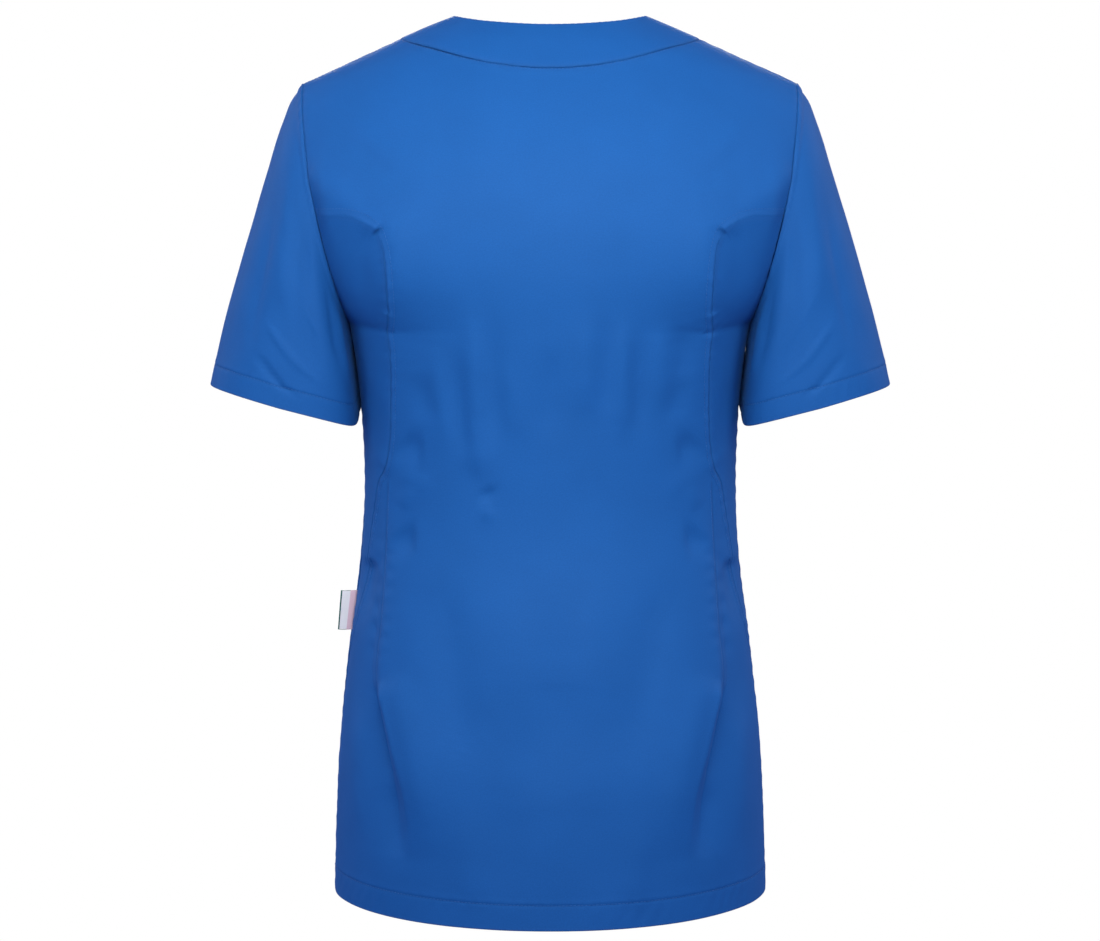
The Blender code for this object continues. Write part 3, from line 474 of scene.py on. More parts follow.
def place(face, axes, targets, start):
    """(across, up) of the points whose coordinates along the two axes are the targets."""
    targets = np.atleast_2d(np.asarray(targets, float))
    at = np.broadcast_to(np.asarray(start, float), targets.shape).copy()
    axes = list(axes)
    for _ in range(60):
        here, ja, ju = slopes_at(face, at)
        miss = targets - here[:, axes]
        if np.abs(miss).max() < 1e-6:
            break
        ja, ju = ja[:, axes], ju[:, axes]
        det = ja[:, 0] * ju[:, 1] - ja[:, 1] * ju[:, 0]
        det = np.where(np.abs(det) < 1e-6, 1e-6, det)
        step = np.stack(
            [
                (miss[:, 0] * ju[:, 1] - miss[:, 1] * ju[:, 0]) / det,
                (miss[:, 1] * ja[:, 0] - miss[:, 0] * ja[:, 1]) / det,
            ],
            axis=1,
        )
        limit = np.minimum(0.15 / np.maximum(np.abs(step[:, 0]), 1e-9), 25.0 / np.maximum(np.abs(step[:, 1]), 1e-9))
        at += step * np.minimum(1.0, limit)[:, None]
        at[:, 0] = np.clip(at[:, 0], -1.0, 1.0)
        at[:, 1] = np.clip(at[:, 1], 0.0, TOP[face])
    return at


# ---- Edges of the panels ----
class Run:
    """Part of a panel's edge: its kind, its points as (across, up), and how far along the seam each one is."""

    def __init__(self, tag, at, arc):
        self.tag, self.at, self.arc = tag, np.asarray(at, float), np.asarray(arc, float)

    def flipped(self):
        return Run(self.tag, self.at[::-1], self.arc[::-1])

    def mirrored(self):
        return Run(self.tag, self.at[::-1] * (-1, 1), self.arc[::-1] + 3000.0)


SIDE_ZS = np.linspace(SIDE_SEAM["z"][0], UNDERARM, 152)
SIDE_UP, ARM_UP = {}, {}
for _face in (BACK, FRONT):
    _ups = np.linspace(0, LEVELS[_face]["up"][UNDERARM_ROW], 800)
    SIDE_UP[_face] = (edge(_face, _ups)[:, 2], _ups)
    _ups = np.linspace(LEVELS[_face]["up"][UNDERARM_ROW], TOP[_face], 1500)
    ARM_UP[_face] = (-np.abs(armhole_angle(_face, _ups)), _ups)
ARM_TURNS = np.arange(-180.0, 180.1, 2.5)
ARM_ARCS = lengths(sleeve(np.zeros(len(ARM_TURNS)), ARM_TURNS))


def side_run(face, z_from, z_to):
    zs = np.concatenate([[z_from], SIDE_ZS[(SIDE_ZS > z_from + 0.6) & (SIDE_ZS < z_to - 0.6)], [z_to]])
    return Run("side", np.stack([np.ones(len(zs)), np.interp(zs, *SIDE_UP[face])], axis=1), zs)


def arm_run(face, turn_from, turn_to):
    """Round the armhole, by degrees from its top."""
    lo, hi = min(turn_from, turn_to), max(turn_from, turn_to)
    turns = ARM_TURNS[(ARM_TURNS > lo + 0.8) & (ARM_TURNS < hi - 0.8)]
    turns = np.concatenate([[lo], turns, [hi]])
    if turn_from > turn_to:
        turns = turns[::-1]
    arcs = np.interp(turns if face == BACK else -turns, ARM_TURNS, ARM_ARCS)
    return Run("arm", np.stack([np.ones(len(turns)), np.interp(-turns, *ARM_UP[face])], axis=1), arcs)


def princess_run():
    line = PRINCESS
    run = lengths(np.stack([line["across"] * 200, line["up"]], axis=1))
    at = np.linspace(0, run[-1], int(run[-1] / ALONG) + 1)
    out = np.stack([smooth(at, run, line["across"]), smooth(at, run, line["up"])], axis=1)
    out[[0, -1], 0] = 1.0
    return Run("princess", out, at)


def on_shoulder(x):
    w = np.linspace(0, 1, 600)
    return np.interp(x, body_shape(BACK, w, np.full(600, TOP[BACK]))[:, 0], w)


def level_at_centre(face, z):
    ups = np.linspace(0, TOP[face], 1200)
    return float(np.interp(z, level_values(face, ups)["height"], ups))


def neck_line(wide, deep, count):
    """At the back, from the centre to the shoulder line."""
    turns = np.radians(90.0 * np.arange(count) / count)
    start, out = (0.0, float(LEVELS[BACK]["up"][-3])), []
    for turn in turns:
        start = place(BACK, (0, 1), [(wide * math.sin(turn), deep * math.cos(turn))], start)[0]
        out.append(start)
    return np.vstack([out, [[on_shoulder(wide), TOP[BACK]]]])


def v_line(wide, depth, count):
    """At the front, from the point of the V to the shoulder line."""
    top = float(body_shape(FRONT, on_shoulder(wide), TOP[FRONT])[2])
    start, out = (0.0, level_at_centre(FRONT, -depth)), []
    for k in range(count):
        share = 1 - k / count
        target = (wide * (1 - share**V_BOW), top + (-depth - top) * share)
        start = place(FRONT, (0, 2), [target], start)[0]
        out.append(start)
    return np.vstack([out, [[on_shoulder(wide), TOP[FRONT]]]])


def hem_run(face):
    across = np.linspace(-1, 1, 2 * int(HALF[face][1][0] / ALONG) + 1)
    return Run("hem", np.stack([across, np.zeros(len(across))], axis=1), across * HALF[face][1][0])


# ---- Folds ----
# where: which half, 1 the wearer's left, -1 the right, 0 both. The fold runs from x0, z0 past xm, zm to x1, z1. kind: 1 is
# a swell or a trough, by the sign of high; 2 is a step, high on its outer side. in, out: how soon it fades at each end.
FOLD = "where kind x0 z0 xm zm x1 z1 high wide in out"
BACK_FOLDS = columns(
    FOLD,
    ("flat of the lower back", 1, 1, 0, -480, 0, -540, 0, -600, -3.6, 62.0, 0.50, 0.50),
    ("long swell", 1, 1, 62, -196, 58, -280, 54, -352, 2.9, 8.5, 0.35, 0.20),
    ("its trough", 1, 1, 44, -215, 44, -270, 43, -330, -1.9, 8.0, 0.40, 0.35),
    ("trough outside it", 1, 1, 74, -236, 71, -290, 66, -334, -2.1, 8.0, 0.40, 0.30),
    ("dimple at its foot", 1, 1, 52, -354, 48, -358, 44, -361, -2.6, 7.0, 0.30, 0.30),
    ("lip of the dimple", 1, 1, 53, -370, 48, -372, 43, -371, 1.2, 6.5, 0.30, 0.30),
    ("second swell", 1, 1, 92, -236, 84, -285, 80, -330, 1.8, 8.5, 0.40, 0.40),
    ("inner swell", 1, 1, 32, -250, 27, -290, 24, -322, 1.6, 8.5, 0.40, 0.40),
    ("long swell", -1, 1, -56, -212, -57, -265, -58, -322, 2.4, 8.5, 0.35, 0.30),
    ("its trough", -1, 1, -44, -216, -44, -260, -44, -300, -1.8, 7.5, 0.40, 0.35),
    ("trough outside it", -1, 1, -67, -226, -68, -270, -69, -318, -1.9, 8.0, 0.40, 0.35),
    ("inner swell", -1, 1, -25, -210, -27, -255, -28, -305, 1.9, 9.0, 0.40, 0.35),
    ("outer swell", -1, 1, -84, -216, -86, -260, -88, -300, 1.8, 8.0, 0.40, 0.40),
    ("outer trough", -1, 1, -102, -220, -103, -250, -103, -272, -1.7, 7.0, 0.40, 0.40),
    ("centre trough", 0, 1, 1, -240, 0, -280, 2, -322, -1.0, 8.0, 0.40, 0.40),
    ("waist dimple", 0, 1, 118, -316, 108, -322, 97, -324, -3.0, 11.0, 0.35, 0.35),
    ("hollow over the waist dimple", 0, 1, 104, -262, 98, -284, 92, -306, -1.6, 8.5, 0.40, 0.40),
    ("dimple beside the tuck", 0, 1, 120, -388, 112, -394, 104, -396, -3.0, 11.0, 0.35, 0.35),
    ("pull above the dimple", 0, 1, 106, -352, 112, -362, 118, -370, 1.2, 7.0, 0.40, 0.40),
    ("pull between the dimples", 0, 1, 122, -340, 104, -350, 84, -352, 1.1, 8.5, 0.35, 0.40),
    ("inner trough of the fold", 0, 1, 92, -420, 76, -486, 64, -580, -2.8, 17.0, 0.35, 0.25),
    ("swell of the fold", 0, 1, 127, -500, 108, -550, 93, -640, 2.8, 14.0, 0.20, 0.30),
    ("edge of the fold", 0, 2, 134, -505, 128, -545, 118, -590, -2.2, 4.8, 0.15, 0.35),
    ("hollow at the hem", 0, 1, 126, -578, 122, -612, 119, -655, -2.4, 9.5, 0.35, 0.40),
    ("outer swell at the hem", 0, 1, 150, -520, 151, -580, 149, -640, 1.7, 8.0, 0.30, 0.35),
    ("ridge beside the armhole", 0, 1, 188, -92, 172, -122, 138, -130, 3.0, 11.0, 0.30, 0.30),
    ("hollow in the side back", 0, 1, 131, -152, 143, -178, 150, -215, -2.2, 13.0, 0.25, 0.40),
    ("hollow below the corner", 0, 1, 131, -150, 128, -172, 126, -210, -1.3, 6.0, 0.20, 0.40),
    ("swell inside the seam", 0, 1, 118, -135, 115, -170, 118, -210, 1.0, 8.0, 0.35, 0.40),
    ("flank under the sleeve", 0, 1, 146, -262, 139, -300, 141, -340, -1.2, 8.0, 0.35, 0.40),
    ("pull to the side seam", 0, 1, 112, -338, 128, -334, 143, -322, 0.9, 5.5, 0.40, 0.30),
    ("wedge", 0, 1, 143, -410, 146, -438, 151, -474, -4.2, 6.0, 0.15, 0.70),
    ("left of the middle", 1, 1, 24, -420, 25, -500, 20, -565, 1.2, 14.0, 0.40, 0.40),
    ("right of the middle", -1, 1, -36, -410, -33, -480, -38, -548, 1.3, 14.0, 0.40, 0.40),
    ("middle hollow", -1, 1, -6, -430, -3, -500, -8, -560, -1.1, 11.0, 0.40, 0.40),
    ("broad hollow", 0, 1, 34, -570, 36, -620, 34, -680, -1.3, 18.0, 0.45, 0.30),
    ("low swell", 1, 1, 62, -590, 64, -636, 60, -684, 1.2, 12.0, 0.45, 0.30),
    ("low swell", -1, 1, -66, -600, -68, -642, -62, -684, 1.1, 12.0, 0.45, 0.30),
    ("shoulder drag", 0, 1, 158, -60, 138, -84, 116, -108, 1.3, 9.0, 0.40, 0.40),
    ("under the shoulder drag", 0, 1, 150, -84, 132, -104, 112, -122, -1.0, 9.0, 0.40, 0.40),
    ("neck drag", 0, 1, 100, -52, 82, -80, 68, -112, -1.1, 11.0, 0.40, 0.45),
)
FRONT_FOLDS = columns(
    FOLD,
    ("fold from the bust", 1, 1, 118, -196, 128, -268, 122, -360, 2.2, 13.0, 0.30, 0.35),
    ("fold from the bust", -1, 1, -116, -200, -124, -262, -120, -348, 2.0, 13.0, 0.30, 0.35),
    ("its trough", 0, 1, 96, -232, 98, -300, 95, -362, -1.6, 11.0, 0.35, 0.35),
    ("second fold", 1, 1, 74, -250, 76, -330, 70, -410, 1.5, 12.0, 0.40, 0.35),
    ("second fold", -1, 1, -80, -262, -78, -330, -76, -398, 1.4, 12.0, 0.40, 0.35),
    ("middle hollow", 0, 1, 8, -300, 4, -360, 10, -430, -1.2, 18.0, 0.40, 0.40),
    ("from the point of the V", 1, 1, 9, -262, 16, -310, 14, -372, 1.0, 9.0, 0.35, 0.45),
    ("from the point of the V", -1, 1, -12, -266, -22, -318, -24, -366, 0.9, 9.0, 0.35, 0.45),
    ("from the armhole", 0, 1, 168, -150, 142, -178, 112, -190, 1.3, 11.0, 0.30, 0.40),
    ("below the armhole", 0, 1, 146, -236, 132, -262, 112, -276, -1.3, 10.0, 0.35, 0.40),
    ("flare", 1, 1, 120, -440, 128, -540, 126, -660, 2.4, 17.0, 0.35, 0.20),
    ("flare", -1, 1, -122, -452, -130, -548, -130, -664, 2.2, 17.0, 0.35, 0.20),
    ("hollow of the flare", 0, 1, 90, -470, 92, -560, 88, -670, -2.0, 16.0, 0.35, 0.20),
    ("inner flare", 1, 1, 56, -490, 54, -580, 57, -675, 1.5, 15.0, 0.40, 0.20),
    ("inner flare", -1, 1, -52, -478, -55, -570, -50, -675, 1.6, 15.0, 0.40, 0.20),
    ("middle hollow of the hem", 0, 1, 12, -520, 14, -600, 16, -680, -1.3, 18.0, 0.45, 0.20),
    ("collarbone drag", 0, 1, 140, -64, 128, -104, 118, -140, 0.9, 11.0, 0.40, 0.45),
)
# The same on a sleeve, by degrees round it and share of the way down; where is 1 for the left sleeve, -1 for the right.
SLEEVE_FOLDS = columns(
    "where turn0 along0 turn1 along1 high wide in out",
    ("swell behind", 0, 62, 0.10, 78, 0.62, 1.6, 13.0, 0.35, 0.35),
    ("crease behind", 0, 92, 0.06, 106, 0.84, -2.2, 9.0, 0.25, 0.30),
    ("crease over the cuff", 0, 62, 0.80, 98, 0.92, -1.8, 6.5, 0.30, 0.30),
    ("swell over the cuff", 0, 66, 0.66, 112, 0.78, 1.6, 8.0, 0.30, 0.30),
    ("outer swell", 0, 34, 0.30, 34, 0.88, 1.8, 12.0, 0.35, 0.30),
    ("crease beside the outer swell", 0, 50, 0.30, 56, 0.84, -1.6, 7.0, 0.35, 0.30),
    ("under the arm", 0, 138, 0.05, 146, 0.70, 1.6, 9.0, 0.25, 0.40),
    ("hollow by the underarm", 0, 124, 0.10, 130, 0.60, -1.2, 7.0, 0.30, 0.40),
    ("crease in front", 0, -88, 0.06, -104, 0.78, -2.0, 10.0, 0.25, 0.35),
    ("swell in front", 0, -60, 0.12, -72, 0.70, 1.8, 13.0, 0.35, 0.35),
    ("front of the underarm", 0, -134, 0.05, -142, 0.66, 1.5, 9.0, 0.25, 0.40),
    ("outer hollow", 0, -14, 0.50, -8, 0.92, -1.0, 10.0, 0.35, 0.35),
    ("small pull", 1, 80, 0.40, 118, 0.52, 0.8, 6.0, 0.40, 0.40),
    ("small pull", -1, 74, 0.48, 112, 0.60, 0.8, 6.0, 0.40, 0.40),
)


def bend_points(row, table, count=40):
    """Points along a fold, and how strong it is at each."""
    t = np.linspace(0, 1, count)[:, None]
    a, m, b = (np.array([table[x][row], table[z][row]]) for x, z in (("x0", "z0"), ("xm", "zm"), ("x1", "z1")))
    middle = 2 * m - (a + b) / 2
    line = a * (1 - t) ** 2 + middle * 2 * t * (1 - t) + b * t * t
    t = t[:, 0]
    strength = ease(t / table["in"][row]) * ease((1 - t) / table["out"][row])
    return line, strength


def folds(table, points):
    """How far the table's folds lift these points of the body."""
    out = np.zeros(len(points))
    for row in range(len(table["x0"])):
        where = int(table["where"][row])
        line, strength = bend_points(row, table)
        half = np.sign(line[:, 0].sum()) or 1.0
        for side in (half,) if where else (1.0, -1.0):
            flip = side * half
            xz = points[:, [0, 2]] * (flip, 1.0)
            reach = 3.2 * table["wide"][row]
            near = (
                (xz[:, 0] > line[:, 0].min() - reach)
                & (xz[:, 0] < line[:, 0].max() + reach)
                & (xz[:, 1] > line[:, 1].min() - reach)
                & (xz[:, 1] < line[:, 1].max() + reach)
            )
            if not near.any():
                continue
            p = xz[near]
            gaps = np.linalg.norm(p[:, None] - line[None], axis=-1)
            k = gaps.argmin(1)
            away = gaps[np.arange(len(p)), k]
            tangent = np.gradient(line, axis=0)
            tangent /= np.linalg.norm(tangent, axis=1, keepdims=True)
            rel = p - line[k]
            turn = np.sign(rel[:, 1] * tangent[k, 0] - rel[:, 0] * tangent[k, 1]) * half
            u = away / table["wide"][row]
            if table["kind"][row] == 2:
                value = turn * u * math.sqrt(2) * math.exp(0.5) * np.exp(-u * u)
            else:
                value = np.exp(-u * u)
            out[near] += table["high"][row] * strength[k] * value * (0.92 if flip < 0 and where == 0 else 1.0)
    return out


def ripples(face, points, at):
    """Small unevenness of the cloth all over."""
    seed = 11 if face == BACK else 23
    slow = noise(points * (1, 1, 0.55), 46.0, seed) * 0.55
    quick = noise(points * (1, 1, 0.7), 17.0, seed + 1) * 0.13
    return slow + quick


# ---- Seams ----
# dip: depth of the line where two panels meet. stitch: distance of a row of stitches beside it, 0 for none, and how deep
# it pulls the cloth in. ridge, reach: height and width of the cloth over the turned-in edges. pucker, wave: height and
# length of the small puckers along it. lap: how much the turned-in edges stand out on the inside.
SEAM = "dip stitch groove ridge reach pucker wave lap"
SEAMS = {
    "side": dict(zip(SEAM.split(), (0.40, 0.0, 0.0, 0.10, 8.0, 0.28, 12.0, 0.7))),
    "princess": dict(zip(SEAM.split(), (0.34, 0.0, 0.0, 0.12, 8.0, 0.22, 11.0, 0.7))),
    "princess stitched": dict(zip(SEAM.split(), (0.32, 5.0, 0.22, 0.30, 5.0, 0.28, 11.0, 0.9))),
    "arm": dict(zip(SEAM.split(), (0.38, 0.0, 0.0, 0.10, 7.0, 0.26, 10.0, 0.4))),
    "arm on the sleeve": dict(zip(SEAM.split(), (0.30, 0.0, 0.0, 0.55, 7.0, 0.30, 10.0, 0.8))),
    "shoulder": dict(zip(SEAM.split(), (0.45, 5.0, 0.22, 0.25, 5.0, 0.16, 12.0, 0.8))),
    "neck": dict(zip(SEAM.split(), (0.45, 1.6, 0.12, 0.22, 6.0, 0.18, 10.0, 0.9))),
    "band": dict(zip(SEAM.split(), (0.40, 0.0, 0.0, 0.05, 6.0, 0.14, 10.0, 0.0))),
}


def seam_relief(kind, d, arc):
    """(lift of the whole cloth, lift of its outer face only, extra thickness inside) at this distance from a seam."""
    s = SEAMS[kind]
    outer = -s["dip"] * bell(d, 0.62)
    if s["stitch"]:
        outer = outer - s["groove"] * bell(d - s["stitch"], 0.75)
    wobble = noise(np.stack([arc, arc * 0], axis=1), 31.0, 5)
    wave = np.sin(arc * 2 * math.pi / s["wave"] + 2.6 * wobble) * (0.65 + 0.6 * noise(np.stack([arc, arc * 0 + 9], axis=1), 23.0, 6))
    both = s["pucker"] * wave * (0.35 * bell(d, 2.0) + bell(d - 3.5, 4.2))
    both = both + s["ridge"] * ease(d / 1.2) * ease((s["reach"] + 1.2 - d) / 1.6)
    lap = s["lap"] * ease((s["reach"] + 3.0 - d) / 0.8) * ease((d + 0.6) / 1.0)
    return both, outer, lap


def hem_relief(e, arc, deep, kind):
    """The same for a turned-up edge, at this distance from it."""
    inside = ease((deep + 1.4 - e) / 1.4)
    wobble = noise(np.stack([arc, e * 0.6], axis=1), 26.0, kind)
    rope = np.sin((arc + e * 0.55) * 2 * math.pi / 13.0 + 2.4 * wobble)
    rope = rope * (0.6 + 0.7 * noise(np.stack([arc, e * 0], axis=1), 34.0, kind + 1))
    both = 0.20 * rope * bell(e - deep * 0.55, deep * 0.45) + 0.16 * np.sin(arc * 2 * math.pi / 8.7 + wobble * 2) * bell(e - deep, 2.6)
    outer = -0.34 * bell(e - deep, 0.75) + 0.22 * bell(e - deep - 2.1, 1.2) + 0.14 * inside
    return both, outer, (HEM_SHEET - SHEET) * inside


def rounded(e, half):
    """How far a folded edge's face has fallen towards its middle, at this distance from the edge."""
    short = np.clip(half - e, 0, half)
    return half - np.sqrt(np.maximum(half * half - short * short, 0.0)) * 1.0


# ---- Meshes ----
cloth_pieces, outer_trees = {}, {}


def mesh_object(name, verts, faces, material, uv=None, values=None):
    """A mesh from points in millimetres."""
    mesh = bpy.data.meshes.new(name)
    mesh.from_pydata((np.asarray(verts) * MM).tolist(), [], [tuple(map(int, f)) for f in faces])
    mesh.update()
    mesh.shade_smooth()
    corner = np.empty(len(mesh.loops), np.int32)
    mesh.loops.foreach_get("vertex_index", corner)
    if uv is not None:
        layer = mesh.uv_layers.new(name="Cloth")
        layer.data.foreach_set("uv", (np.asarray(uv, np.float32) * MM)[corner].ravel())
    for key, value in (values or {}).items():
        attribute = mesh.attributes.new(key, "FLOAT", "POINT")
        attribute.data.foreach_set("value", np.asarray(value, np.float32))
    mesh.materials.append(material)
    obj = bpy.data.objects.new(name, mesh)
    bpy.context.scene.collection.objects.link(obj)
    return obj


def rims(faces):
    """The open edges of a skin, each as (from, to) in the order of its face."""
    f = np.asarray(faces)
    ends = np.concatenate([f[:, [0, 1]], f[:, [1, 2]], f[:, [2, 0]]])
    key = np.sort(ends, axis=1)
    _, first, count = np.unique(key[:, 0].astype(np.int64) * 10_000_000 + key[:, 1], return_index=True, return_counts=True)
    return ends[first[count == 1]]


def vertex_normals(points, faces):
    f = np.asarray(faces)
    n = np.cross(points[f[:, 1]] - points[f[:, 0]], points[f[:, 2]] - points[f[:, 0]])
    out = np.zeros_like(points)
    for k in range(3):
        np.add.at(out, f[:, k], n)
    return unit(out)


def shell(name, outer, inner, faces, material, uv, wear, seam_shade):
    """A closed wall of cloth from an outer and an inner skin."""
    count = len(outer)
    faces = np.asarray(faces)
    open_edges = rims(faces)
    a, b = open_edges[:, 0], open_edges[:, 1]
    sides = np.concatenate([np.stack([b, a, a + count], 1), np.stack([b, a + count, b + count], 1)])
    everything = np.concatenate([faces, faces[:, ::-1] + count, sides])
    # seam_shade is painted shade in the bottoms of seams and stitch grooves, on the outer skin only
    values = {
        "wear": np.concatenate([wear, wear * 0.6]),
        "seam_shade": np.concatenate([seam_shade, seam_shade * 0]),
        "inside": np.concatenate([np.zeros(count), np.ones(count)]),
    }
    obj = mesh_object(name, np.vstack([outer, inner]), everything, material, np.vstack([uv, uv + (1700.0, 0)]), values)
    outer_trees[name] = BVHTree.FromPolygons((outer * MM).tolist(), faces.tolist())
    cloth_pieces[name] = obj
    return obj


class Edges:
    """The dense points of a panel's edge, by kind, for finding how far a point is from it."""

    def __init__(self, face, runs):
        self.face, self.kinds = face, {}
        for tag in dict.fromkeys(r.tag for r in runs):
            points, arcs, normals, starts = [], [], [], []
            for r in (r for r in runs if r.tag == tag):
                line = body_shape(face, r.at[:, 0], r.at[:, 1])
                run = lengths(line)
                at = np.linspace(0, run[-1], max(2, int(run[-1] / 0.8) + 1))
                own = shared_normals(face, tag, r.at)
                points.append(np.stack([np.interp(at, run, line[:, k]) for k in range(3)], 1))
                normals.append(unit(np.stack([np.interp(at, run, own[:, k]) for k in range(3)], 1)))
                arcs.append(np.interp(at, run, r.arc))
                starts += [len(at)]
            points, arcs, normals = np.vstack(points), np.concatenate(arcs), np.vstack(normals)
            tree = KDTree(len(points))
            for i, p in enumerate(points):
                tree.insert(p, i)
            tree.balance()
            self.kinds[tag] = (points, arcs, normals, tree, set(np.cumsum(starts)[:-1]))

    def off(self, tag, points):
        """(distance, arc, shared normal) of each point's nearest place on this kind of edge."""
        line, arcs, normals, tree, _ = self.kinds[tag]
        i = np.array([tree.find(p)[1] for p in points], int)
        best = np.linalg.norm(points - line[i], axis=1)
        arc = arcs[i].copy()
        for other in (np.maximum(i - 1, 0), np.minimum(i + 1, len(line) - 1)):
            d = line[other] - line[i]
            size = (d * d).sum(1)
            ok = (size > 1e-9) & (size < 4.0)
            t = np.clip(((points - line[i]) * d).sum(1) / np.where(ok, size, 1.0), 0, 1)
            gap = np.linalg.norm(points - line[i] - t[:, None] * d, axis=1)
            better = ok & (gap < best)
            best = np.where(better, gap, best)
            arc = np.where(better, arcs[i] + (arcs[other] - arcs[i]) * t, arc)
        return best, arc, normals[i]


def shared_normals(face, tag, at):
    """The normals along a panel's edge, halfway to the next piece's where they meet."""
    n = body_normal(face, at[:, 0], at[:, 1])
    if tag == "side":
        other = np.interp(edge(face, at[:, 1])[:, 2], *SIDE_UP[1 - face])
        return unit(n + body_normal(1 - face, at[:, 0], other))
    if tag == "arm":
        mate = sleeve_normal(np.zeros(len(at)), armhole_angle(face, at[:, 1]))
        mate[:, 0] *= np.where(at[:, 0] < 0, -1.0, 1.0)
        dot = (n * mate).sum(1, keepdims=True)
        return unit(n + mate * np.clip((dot - 0.1) / 0.5, 0, 1))
    if tag == "shoulder":
        return unit(n + body_normal(1 - face, at[:, 0], np.full(len(at), TOP[1 - face])))
    return n


def inward(face, at):
    """The direction into the panel, square to its edge, for points in order along it, with the panel on their left."""
    here, ja, ju = slopes_at(face, at)
    along = unit(np.gradient(here, axis=0))
    n = raw_normal(body_shape, face, at[:, 0], at[:, 1])
    m = unit(np.cross(n, along))
    flat = laid(face, at)
    t = np.gradient(flat, axis=0)
    step = solve_step(ja, ju, m)
    moved = laid(face, at + step * 0.5) - flat
    sign = np.where(-t[:, 1] * moved[:, 0] + t[:, 0] * moved[:, 1] < 0, -1.0, 1.0)
    return m * sign[:, None]


def rows_beside(face, at, distances):
    """Points at these distances from an edge, one array of (across, up) for each distance."""
    m, out, here = inward(face, at), [], at.copy()
    last = 0.0
    for d in distances:
        for _ in range(2 if d - last > 1.5 else 1):
            _, ja, ju = slopes_at(face, here)
            n = unit(np.cross(ja, ju))
            way = unit(m - n * (m * n).sum(1, keepdims=True))
            parts = 2 if d - last > 1.5 else 1
            here = here + solve_step(ja, ju, way * (d - last) / parts)
        last = d
        out.append(here.copy())
    return out


def within(loop, points):
    """Which points are inside an outline."""
    out = np.zeros(len(points), bool)
    a, b = loop, np.roll(loop, -1, axis=0)
    rise = np.where(b[:, 1] == a[:, 1], 1e-12, b[:, 1] - a[:, 1])
    for k in range(0, len(points), 4000):
        p = points[k : k + 4000]
        crosses = (a[None, :, 1] > p[:, None, 1]) != (b[None, :, 1] > p[:, None, 1])
        x = a[None, :, 0] + (p[:, None, 1] - a[None, :, 1]) * ((b[:, 0] - a[:, 0]) / rise)[None]
        out[k : k + 4000] = (crosses & (p[:, None, 0] < x)).sum(1) % 2 == 1
    return out


def thin_out(flat, keep_first, least):
    """Drops points that fall in one small cell with an earlier one."""
    cell = np.round(flat / least).astype(np.int64)
    _, first = np.unique(cell[:, 0] * 1_000_003 + cell[:, 1], return_index=True)
    keep = np.zeros(len(flat), bool)
    keep[first] = True
    keep[:keep_first] = True
    return keep


SHOULDER_Z = float(body_shape(BACK, np.array([1.0]), np.array([TOP[BACK]]))[0, 2])


def shoulder_share(z):
    """1 at the top of the armhole, falling to 0 at its middle."""
    return ease((z - SHOULDER_Z + 75.0) / 60.0)


